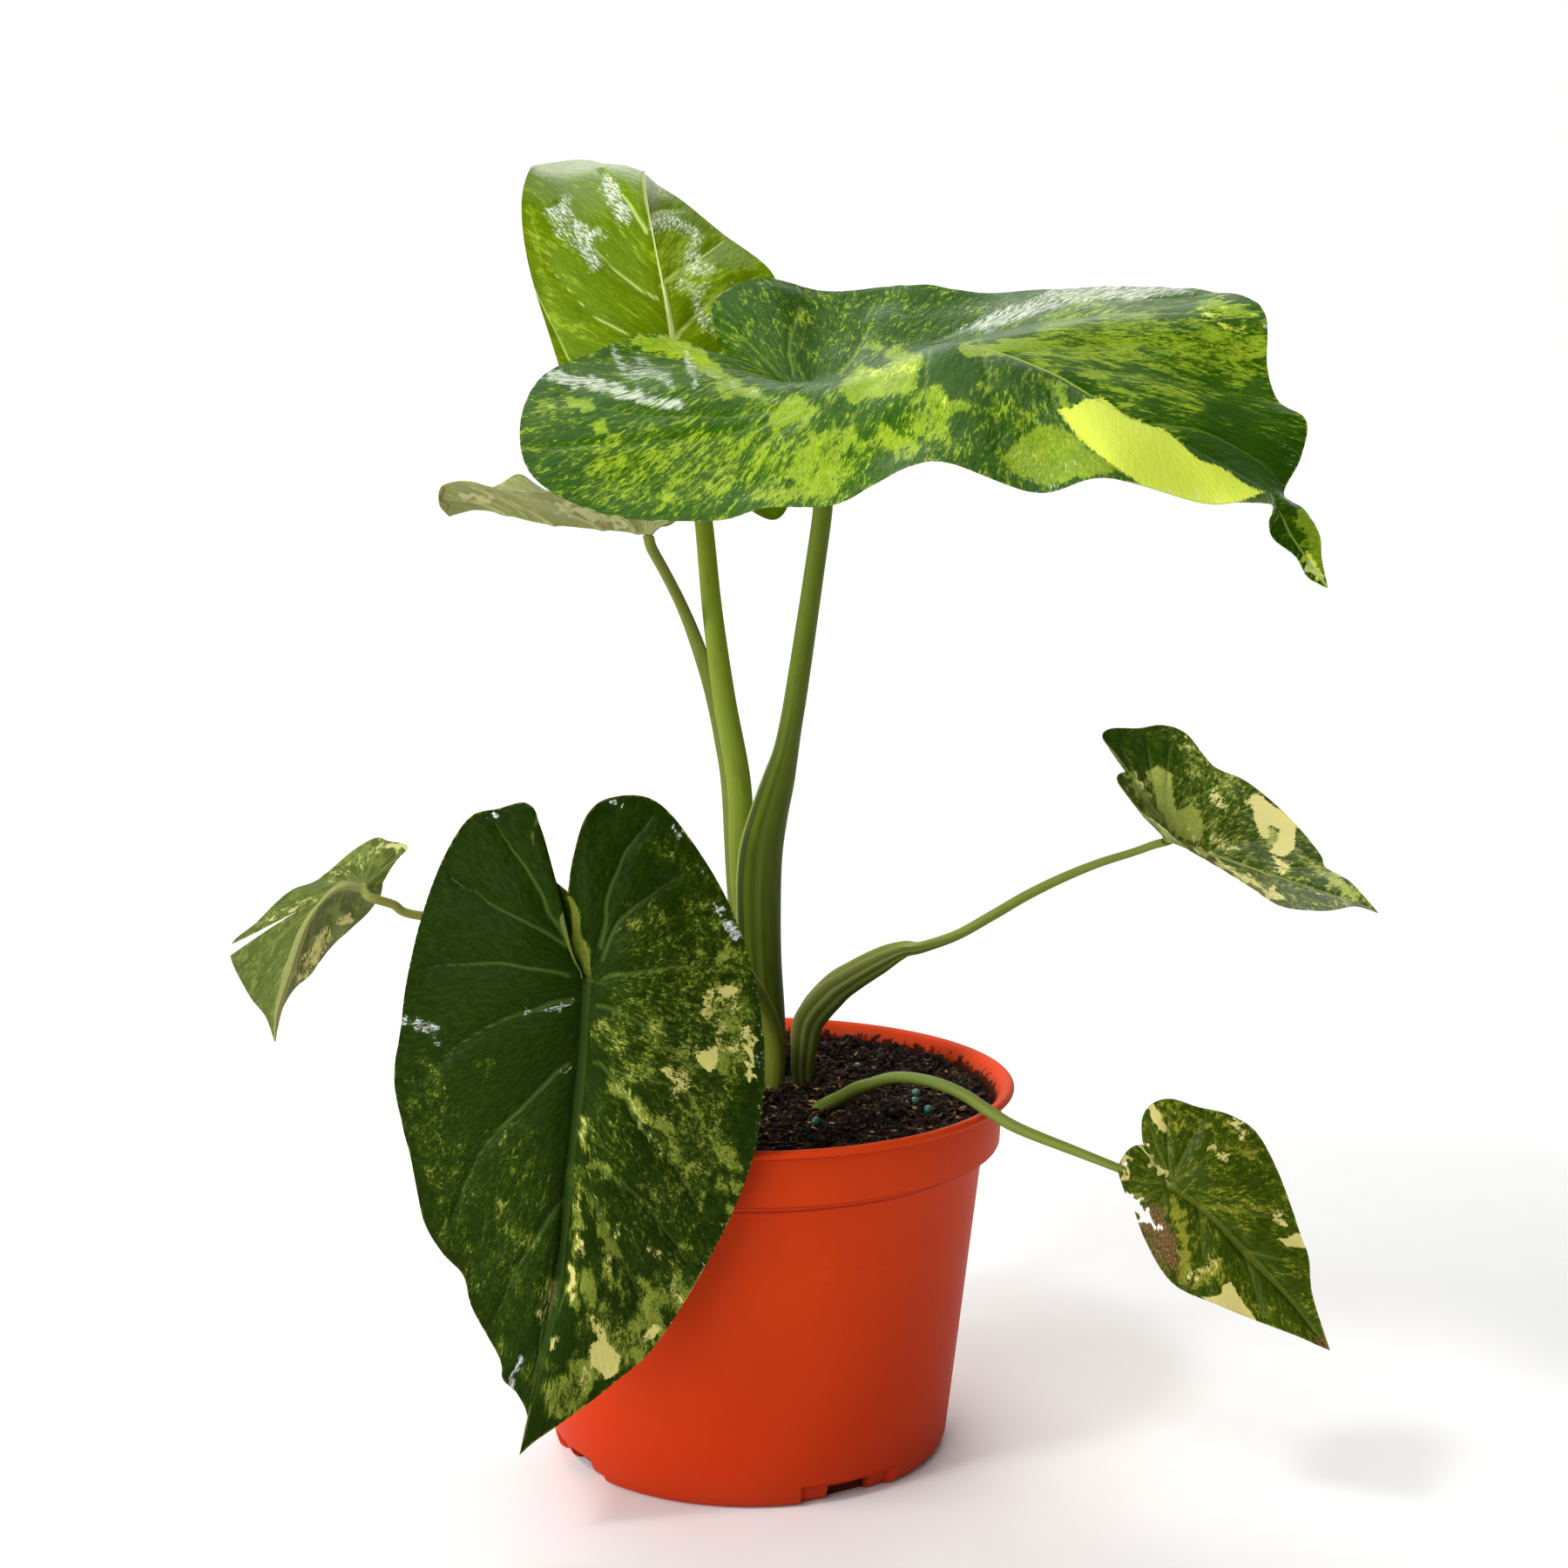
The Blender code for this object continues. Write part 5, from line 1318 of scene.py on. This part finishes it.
stalk(
    "petiole_top", LEAF_TOP, (-0.35, 0.94, 0),
    path=[
        (5, 33, 107.8, 6.5, 4.5, -2), (5, 32, 127, 6.8, 4.5, -2.5), (3, 31, 152, 7.5, 4.5, -3),
        (2.5, 30, 173, 7.9, 4.5, -3), (3.3, 29, 188, 7.7, 4.4, -3), (6, 27.5, 201, 6.7, 4.2, -2.5),
        (9, 26, 212, 5.7, 4, -1.2), (11.3, 25, 221, 4.5, 3.9, 0.8), (13, 24, 230, 3.9, 3.7, 2),
        (15.3, 22.5, 244, 3.7, 3.6, 2.2), (20.5, 17.5, 280, 3.3, 3.4, 2.4),
        (23.5, 13.5, 304, 3.2, 3.3, 2.4), (23, 11, 321, 3.2, 3.2, 2.4), (20, 10, 330, 3, 3, 2.4)],
    look=dict(
        rings=150, sides=48, low=(56, 72, 8), high=(112, 130, 32), stripe=(106, 120, 36),
        blush=(44, 58, 10), edge=(150, 156, 88), inner=(92, 104, 40),
        # The pale bands are painted highlights on the sheath's ridges, the dark ones painted shade in its
        # grooves.
        bands=[
            (190, 6, 0.35, (132, 142, 70)), (206, 9, 0.7, (28, 40, 6)), (246, 7, 0.4, (36, 50, 8)),
            (256, 6, 0.3, (124, 136, 60))]))


# The back leaf. A bright, very glossy young blade stands upright behind the others. It is so thin
# that light shines through, which is painted on as a faint glow of its own colour, and its white glare
# is painted highlights. A plain round stalk joins it between its lobes.
LEAF_BACK = dict(
    hub=(-21, 62, 324), tip_dir=(-0.1, 0.5, 0.86), face_dir=(0, -0.86, 0.51), rows=(2, 11, 14),
    fine=(8, 56), rib=[(30, 2, 13), (53, 4, 19), (78, 6, 19), (94, 6, 13), (108, 6, -3), (119, 8, -27)],
    left=[
        (-9, -4, -3), (-21, 2, -7), (-29, 10, -9), (-25, 23, -5), (-8, 33, 2), (10, 38, 7), (29, 42, 12),
        (58, 48, 19), (81, 49, 21), (99, 46, 15), (114, 42, -2), (125, 24, -18)],
    right=[
        (-9, 4, -3), (-19, 10, -6), (-29, 25, -11), (-19, 33, -14), (1, 38, -9), (25, 39, -4),
        (48, 36, 0), (60, 33, 3), (77, 18, 2), (91, 6, 2), (102, -2, -3), (113, -6, -12)],
    left_veins=((1, 0), (5, 0), (9, 1.6), (12, 6)),
    right_veins=((1, 0), (5, 0), (8, 1.8), (10, 3), (12, 6)), left_swell=(2, 4, 2), right_swell=(2, 3, 1))
BACK_LOOK = dict(
    colours=dict(
        dark=(84, 110, 3), middle=(102, 128, 6), lime=(118, 143, 14), bright=(150, 172, 44),
        cream=(196, 204, 100), vein=(184, 200, 106), rib=(186, 196, 120), under=(136, 150, 66)),
    ground=dict(lime=0.4), quilt=0.9, roughness=0.2, specular=0.05, blisters=1.8, grain=(0.4, 0.12),
    # The highlight grain and pale colour are those of the painted highlights, and the glow is painted light
    # through the blade.
    crisp=2.5, painted_highlight=(1.3, 0.55), pale=(240, 248, 232), painted_glow=0.12, rib_width=0.6,
    vein_strength=0.8,
    veins=[
        ((742, 262), (715, 222), (690, 192)), ((756, 340), (730, 325), (690, 290), (640, 235)),
        ((770, 385), (720, 380), (680, 360), (625, 300)), ((745, 250), (765, 236), (785, 236)),
        ((760, 325), (800, 295), (845, 268)), ((775, 385), (830, 335), (882, 312)),
        ((778, 420), (720, 430), (660, 420), (610, 330)), ((785, 440), (840, 400), (898, 360))],
    marks=dict(
        lime=[(0.55, 9, (606, 235), (640, 380)), (0.7, 40, (790, 300), (830, 370))],
        cream=[(0.5, 4, (700, 215), (742, 262))],
        # The pale marks are painted highlights, the white glare on this blade.
        pale=[
            (0.6, 20, (645, 245), (685, 300)), (0.6, 13, (698, 212), (716, 250)),
            (0.56, 20, (765, 245), (800, 300)), (0.54, 18, (785, 330), (830, 390)),
            (0.5, 12, (840, 330), (870, 380))]))
blade("leaf_back", LEAF_BACK, BACK_LOOK)
stalk(
    "petiole_back", LEAF_BACK, (0, -1, 0.2),
    path=[
        (1, 40.5, 107.8, 4.2, 4, 2.5), (-0.5, 42, 149, 4.2, 4, 2.5), (-3, 41, 179, 4.2, 4, 2.5),
        (-4, 43, 208, 4.1, 3.9, 2.5), (-9, 47, 237, 3.8, 3.6, 2.4), (-13, 52, 266, 3.4, 3.3, 2.3),
        (-16, 60, 295, 3.1, 3, 2.2), (-19, 66, 310, 2.9, 2.8, 2.1), (-21, 67, 320, 2.7, 2.6, 2.1)],
    look=dict(
        rings=120, low=(74, 90, 24), high=(146, 164, 44), stripe=(138, 150, 56), blush=(74, 90, 20)))


# The left leaf. A small blade lies flat at the upper left, and its pale underside shows. Its thin
# stalk runs up beside the back leaf's stalk and bends away from it.
LEAF_LEFT = dict(
    hub=(-33, 28, 293), tip_dir=(-1, 0.05, 0), face_dir=(0, 0, 1), rows=(1, 7, 9), fine=(7, 36),
    rib=[(13, 0, 1), (27, -1, 3), (41, -1, 5), (55, -1, 8), (65, -1, 5)],
    left=[
        (-4, 2, 2), (-9, 8, 4), (-12, 17, 9), (-7, 26, 15), (4, 30, 16), (14, 31, 15), (26, 29, 14),
        (37, 28, 14), (46, 24, 15), (56, 19, 17), (65, 11, 15), (67, 5, 9)],
    right=[
        (-4, -2, 2), (-8, 6, 5), (-6, 13, 9), (4, 19, 13), (16, 22, 13), (28, 23, 12), (37, 24, 13),
        (45, 24, 18), (51, 21, 15), (57, 16, 12), (63, 11, 9), (67, 5, 8)],
    left_veins=((1, 0), (4, 0), (8, 2), (12, 5)), right_veins=((1, 0), (4, 0), (8, 2), (12, 5)),
    left_swell=(1, 2, 1), right_swell=(1, 2, 1))
LEFT_LOOK = dict(
    colours=dict(
        dark=(116, 122, 66), middle=(138, 144, 82), lime=(160, 162, 98), cream=(204, 200, 146),
        vein=(196, 194, 138), rib=(176, 176, 116), under=(134, 140, 84)),
    ground=dict(lime=0.42, cream=0.34), quilt=0.5, ripple=0.9, grain=(0.9, 0.12), rib_width=0.6,
    under_share=0.35, vein_strength=0.8, laterals=(1, 2.5, 4, 5.5, 7, 8.5, 10, 12, 14),
    marks=dict(
        cream=[(0.7, 7, (640, 578), (715, 600)), (0.7, 6, (530, 566), (560, 572))],
        brown=[(0.7, 4, (506, 562), (514, 590)), (0.5, 3, (700, 606), (740, 606))]))
blade("leaf_left", LEAF_LEFT, LEFT_LOOK)
stalk(
    "petiole_left", LEAF_LEFT, (-0.4, -0.9, 0.2),
    path=[
        (-2.6, 46.2, 107.8, 3, 2.8, 1), (-4, 48, 148, 3, 2.8, 1), (-6, 49, 178, 3, 2.7, 1),
        (-7.5, 50.3, 207, 3, 2.6, 0.5), (-10, 52.3, 223, 2.9, 2.5, 0.4),
        (-12.7, 53.3, 236, 2.8, 2.4, 0.4), (-16, 52, 248, 2.6, 2.3, 1), (-19.7, 50.5, 259, 2.3, 2.1, 1.3),
        (-23.7, 45.5, 269.4, 2, 2, 1.5), (-28.4, 37, 280, 1.9, 1.9, 1.5), (-32, 31, 287.5, 1.9, 1.9, 1.5)],
    look=dict(
        rings=120, low=(72, 84, 18), high=(120, 130, 50), stripe=(130, 140, 60), blush=(60, 70, 20)))


# The lower left leaf. A small torn blade hangs at the far left and shows its dull underside. One
# half is split from the margin nearly to the rib, and the stalk passes behind the front leaf.
LEAF_LOW_LEFT = dict(
    hub=(-124, 5, 180), tip_dir=(-0.51, 0.02, -0.86), face_dir=(-0.35, 0.91, 0.23), rows=(1, 8, 12),
    fine=(7, 36), rib=[(1, 7, -2), (7, 11, -3), (18, 12, -3), (33, 9, -2), (48, 5, -1), (59, 0, 0)],
    left=[
        (-4, -5, 1), (-11, -7, 5), (-16, -10, 10), (-14, -5, 14), (-12, -2, 18), (-4, 3, 18), (8, 8, 17),
        (16, 15, 17), (30, 19, 18), (42, 22, 19), (51, 12, 12), (54, 5, 5)],
    right=[
        (-4, 5, 1), (1, 8, 4), (5, 10, 10), (9, 11, 13), (13, 11, 15), (20, 9, 16), (26, 7, 16),
        (32, 5, 14), (38, 4, 13), (43, 1, 11), (49, -1, 7), (55, -1, 2)],
    left_veins=((1, 0), (5, 0), (9, 2), (12, 6)), right_veins=((1, 0), (4, 0), (8, 2), (12, 6)),
    left_swell=(1, 2, 1), right_swell=(1, 2, 1), tear=dict(side="left", row=13, spread=0.18, start=0.1))
LOW_LEFT_LOOK = dict(
    colours=dict(
        dark=(50, 64, 20), middle=(66, 80, 30), lime=(96, 110, 50), cream=(182, 180, 112),
        vein=(104, 108, 52), rib=(126, 130, 76), under=(90, 94, 40)),
    # The strong glow set here is painted light, for light shining through the blade and lifting its shaded
    # half.
    ground=dict(lime=0.4, cream=0.16), quilt=0.5, ripple=0.6, under_share=0.2, grain=(0.8, 0.3),
    rib_width=0.6, painted_glow=0.5, laterals=(1, 3, 5, 7, 9, 11, 14, 17),
    marks=dict(
        lime=[(0.6, 20, (385, 990), (435, 980)), (0.6, 14, (395, 1040), (350, 1120))],
        cream=[
            (0.6, 10, (372, 1070), (345, 1120)), (0.7, 6, (392, 1055), (402, 1052)),
            (0.95, 5, (448, 970), (466, 972)), (0.45, 10, (385, 1010), (440, 970)),
            (0.5, 6, (300, 1060), (360, 1030))]))
blade("leaf_low_left", LEAF_LOW_LEFT, LOW_LEFT_LOOK)
stalk(
    "petiole_low_left", LEAF_LOW_LEFT, (0.2, 0.5, 0.8),
    path=[
        (-5, 25, 107.8, 2.4, 2.4, 1.4), (-12, 20, 135, 2.2, 2.2, 1.4), (-35, 13, 160, 1.9, 1.9, 1.4),
        (-70, 8, 168, 1.7, 1.7, 1.3), (-106, 2, 172, 1.6, 1.6, 1.3), (-114, 0, 176, 1.6, 1.6, 1.3),
        (-121, -1, 178.5, 1.6, 1.6, 1.3)],
    look=dict(
        rings=110, sides=20, low=(100, 106, 34), high=(122, 124, 56), stripe=(140, 140, 70),
        blush=(84, 84, 30)))


# The right leaf. A small blade with one big cream patch, on a long thin stalk that rises from a
# broad grooved sheath beside the crown.
LEAF_RIGHT = dict(
    hub=(133, -5, 198), tip_dir=(0.68, -0.72, -0.16), face_dir=(-0.44, -0.57, 0.7), rows=(2, 9, 12),
    fine=(7, 40), rib=[(13, -1, 1), (29, -1, 3), (49, -1, 3), (65, 0, 2), (79, 0, 0)],
    left=[
        (-20, 12, 12), (-26, 15, 14), (-33, 18, 17), (-34, 23, 15), (-29, 29, 10), (-23, 34, 8),
        (-15, 35, 5), (-2, 29, 1), (9, 29, -1), (22, 26, -4), (35, 21, -6), (45, 16, -8), (50, 12, -7),
        (63, 8, -3)],
    right=[
        (-20, -12, 12), (-20, -8, 15), (-16, -4, 18), (-9, 0, 20), (1, 5, 22), (13, 9, 25), (26, 13, 24),
        (38, 15, 24), (52, 17, 22), (63, 18, 19), (73, 12, 14), (77, 5, 9)],
    left_veins=((1, 0), (6, 0), (10, 1.5), (14, 5)), right_veins=((1, 0), (5, 0), (8, 1.5), (12, 5)),
    left_swell=(2, 2, 1), right_swell=(1, 2, 1))
RIGHT_LOOK = dict(
    colours=dict(
        dark=(38, 60, 8), middle=(64, 88, 14), lime=(144, 156, 66), bright=(184, 190, 98),
        cream=(236, 226, 146), vein=(150, 158, 92), rib=(150, 160, 96), under=(128, 138, 78)),
    ground=dict(lime=0.4, cream=0.14), quilt=0.5, ripple=0.6, crisp=6, veil=0.2, grain=(0.8, 0.42),
    # The glow set here is painted light, for light shining through the blade.
    rib_width=0.5, painted_glow=0.05, vein_strength=0.35, laterals=(1, 3, 5, 7, 9, 11, 14, 17),
    marks=dict(
        lime=[
            (-0.6, 26, (1285, 848), (1335, 862)), (0.5, 16, (1380, 890), (1425, 905)),
            (0.56, 12, (1386, 950), (1416, 978)), (0.55, 14, (1500, 990), (1555, 1025)),
            (0.7, 6, (1297, 892), (1318, 925), (1345, 965)), (0.6, 10, (1362, 858), (1376, 872)),
            (0.9, 7, (1456, 956), (1464, 964)), (0.7, 9, (1530, 1010), (1556, 1028))],
        cream=[
            (-0.8, 30, (1280, 850), (1345, 870)), (0.62, 6, (1394, 912), (1404, 926)),
            (0.5, 11, (1392, 956), (1412, 976)), (0.62, 8, (1462, 984), (1474, 996)),
            (0.5, 6, (1458, 958), (1462, 966)), (0.6, 5, (1375, 975), (1420, 1004), (1470, 1030)),
            (0.66, 4, (1303, 890), (1312, 905)), (0.45, 8, (1500, 1018), (1545, 1032)),
            (0.55, 5, (1358, 850), (1374, 868)), (0.42, 9, (1352, 950), (1374, 962)),
            (0.5, 6, (1430, 920), (1438, 925))],
        brown=[(0.7, 4, (1384, 985), (1415, 1008), (1440, 1022), (1466, 1036))]),
    patches=dict(
        lime=[
            (0.85, 4, (1317, 884), (1330, 879), (1347, 888), (1346, 912), (1352, 944), (1345, 958),
             (1330, 930), (1320, 905)),
            (1.0, 3, (1350, 930), (1365, 923), (1378, 931), (1383, 950), (1376, 965), (1360, 969),
             (1348, 962), (1345, 945)),
            (0.9, 4, (1400, 996), (1440, 1010), (1480, 1032), (1462, 1036), (1420, 1012))],
        cream=[
            (1.0, 4, (1436, 918), (1450, 912), (1466, 925), (1487, 947), (1490, 974), (1474, 985),
             (1458, 978), (1466, 966), (1467, 952), (1458, 947), (1453, 952), (1453, 966), (1443, 960),
             (1438, 940))]))
blade("leaf_right", LEAF_RIGHT, RIGHT_LOOK)
stalk(
    "petiole_right", LEAF_RIGHT, (-0.75, 0.1, 0.65),
    path=[
        (15.2, 28, 107.8, 4, 5.5, -2), (14, 27, 120, 4.2, 7.8, -3.5), (15, 26, 134, 4.4, 10.2, -5.5),
        (23, 24, 145, 4.4, 10.4, -6.5), (31, 21, 151, 4.2, 9.2, -5.5), (41, 17, 157, 3.6, 7.8, -3.5),
        (49, 14, 160, 2.7, 5.2, -1), (56, 12, 160.5, 2.1, 3, 0.8), (67, 10, 164, 1.9, 1.9, 1.5),
        (78, 7, 171, 1.9, 1.9, 1.5), (89, 5, 178, 1.8, 1.8, 1.5), (100, 3, 184, 1.7, 1.7, 1.4),
        (111, 1, 189, 1.5, 1.5, 1.3), (122, -1, 193, 1.4, 1.4, 1.2), (129, -3, 196, 1.5, 1.5, 1.2)],
    look=dict(
        rings=150, sides=48, low=(102, 122, 38), high=(120, 134, 52), stripe=(118, 136, 58),
        blush=(86, 96, 36), edge=(178, 178, 116),
        # The brown band is the sheath's own edge colour; the pale bands are painted highlights on its
        # ridges and the dark ones painted shade in its grooves.
        bands=[
            (188, 10, 0.3, (70, 62, 32)), (207, 5, 0.5, (170, 176, 110)), (216, 6, 0.5, (50, 58, 16)),
            (230, 6, 0.4, (160, 170, 96)), (256, 14, 0.35, (60, 72, 20))]))


# The lower right leaf. A small old blade hangs beside the pot, with holes and a burnt margin. Its
# stalk leaves the soil on its own and bends over the pot's lip.
LEAF_LOW_RIGHT = dict(
    hub=(125.5, -72, 105), tip_dir=(0.69, -0.21, -0.69), face_dir=(0.11, -0.91, 0.39), rows=(2, 8, 10),
    fine=(8, 40), rib=[(13, 2, 1), (29, 2, 1), (47, 2, 1), (66, 0, 0)],
    left=[
        (-14, 3, 0), (-16, 4, 0), (-20, 8, 1), (-21, 13, 2), (-18, 18, 3), (-11, 22, 3), (-3, 27, 4),
        (6, 29, 5), (17, 26, 5), (28, 21, 5), (37, 17, 3), (43, 14, 3), (51, 7, 3)],
    right=[
        (-14, -3, 0), (-16, 0, 0), (-16, 4, 0), (-14, 8, -1), (-8, 11, -2), (-2, 13, -2), (5, 16, -3),
        (15, 19, -3), (23, 19, -3), (33, 15, -1), (44, 10, -1), (57, 4, 1)],
    left_veins=((1, 0), (7, 0), (10, 1.3), (13, 4)), right_veins=((1, 0), (6, 0), (9, 1.2), (12, 4)),
    left_swell=(1, 3, 2), right_swell=(1, 2, 1))
LOW_RIGHT_LOOK = dict(
    colours=dict(
        dark=(40, 56, 5), middle=(62, 80, 8), lime=(108, 114, 26), bright=(138, 138, 46),
        cream=(196, 186, 112), vein=(92, 104, 30), rib=(102, 112, 36), under=(104, 112, 48)),
    ground=dict(lime=0.38, cream=0.1), quilt=0.6, ripple=0.8, grain=(0.9, 0.45), rib_width=0.4,
    rib_strength=0.35, brown=(140, 112, 68), laterals=(1, 3, 5, 7, 9, 12, 15),
    holes=[
        (8, (1296, 1378), (1308, 1388), (1314, 1398)), (5, (1318, 1400), (1330, 1410)),
        (3.5, (1326, 1424)), (3.5, (1341, 1440), (1344, 1446)), (2.6, (1408, 1323)), (2.6, (1420, 1333)),
        (3, (1290, 1338), (1292, 1350))],
    marks=dict(
        lime=[
            (0.5, 20, (1335, 1290), (1420, 1300)), (0.5, 26, (1400, 1380), (1450, 1400)),
            (0.72, 7, (1350, 1380), (1362, 1430), (1358, 1468)), (-0.5, 16, (1430, 1420), (1480, 1490)),
            (0.7, 8, (1370, 1480), (1395, 1450))],
        cream=[
            (0.8, 6, (1320, 1268), (1328, 1284), (1336, 1296)), (0.6, 6, (1466, 1394), (1474, 1406)),
            (0.8, 3.5, (1312, 1316), (1328, 1338), (1344, 1362)), (0.62, 8, (1418, 1282), (1424, 1300)),
            (0.62, 6, (1392, 1318), (1408, 1332)), (0.7, 5, (1290, 1330), (1294, 1352)),
            (0.5, 12, (1370, 1470), (1390, 1450))],
        brown=[
            (0.85, 12, (1322, 1392), (1338, 1420), (1346, 1452)), (0.7, 8, (1312, 1400), (1330, 1440)),
            (0.7, 2.5, (1286, 1330), (1286, 1350)), (1.0, 8, (1517, 1540), (1527, 1550)),
            (0.6, 4, (1340, 1455), (1372, 1482))]),
    patches=dict(
        cream=[
            (1.0, 2.5, (1375, 1487), (1391, 1493), (1401, 1490), (1404, 1476), (1414, 1470), (1421, 1486),
             (1443, 1517), (1425, 1514), (1398, 1505)),
            (1.0, 2.5, (1467, 1419), (1478, 1421), (1492, 1411), (1499, 1434), (1479, 1431))]))
blade("leaf_low_right", LEAF_LOW_RIGHT, LOW_RIGHT_LOOK)
stalk(
    "petiole_low_right", LEAF_LOW_RIGHT, (0.3, -0.3, 0.9),
    path=[
        (22.2, -4.6, 104, 2.8, 2.4, 1.2), (22.8, -5.4, 108, 3.5, 2.9, 1.3),
        (24.5, -8, 112.6, 4, 3.5, 1.2), (28, -12, 116.6, 4.2, 3.9, 0.9), (33, -16.5, 120.8, 4, 3.8, 0.6),
        (38, -22, 124, 3.3, 3.3, 0.7), (45, -29, 127, 2.2, 2.2, 1.4), (52, -36, 128.3, 2, 2, 1.6),
        (59, -42, 128, 2, 2, 1.6), (66, -47, 126, 2, 2, 1.6), (74, -53, 122, 2, 2, 1.6),
        (82, -58, 118.5, 1.9, 1.9, 1.5), (99, -64, 113, 1.6, 1.6, 1.3), (110, -66, 109, 1.4, 1.4, 1.2),
        (119, -67, 105.5, 1.4, 1.4, 1.2), (124, -68.5, 103.3, 1.4, 1.4, 1.2)],
    look=dict(
        rings=140, low=(104, 120, 44), high=(120, 134, 54), stripe=(126, 142, 68), blush=(82, 98, 34)))
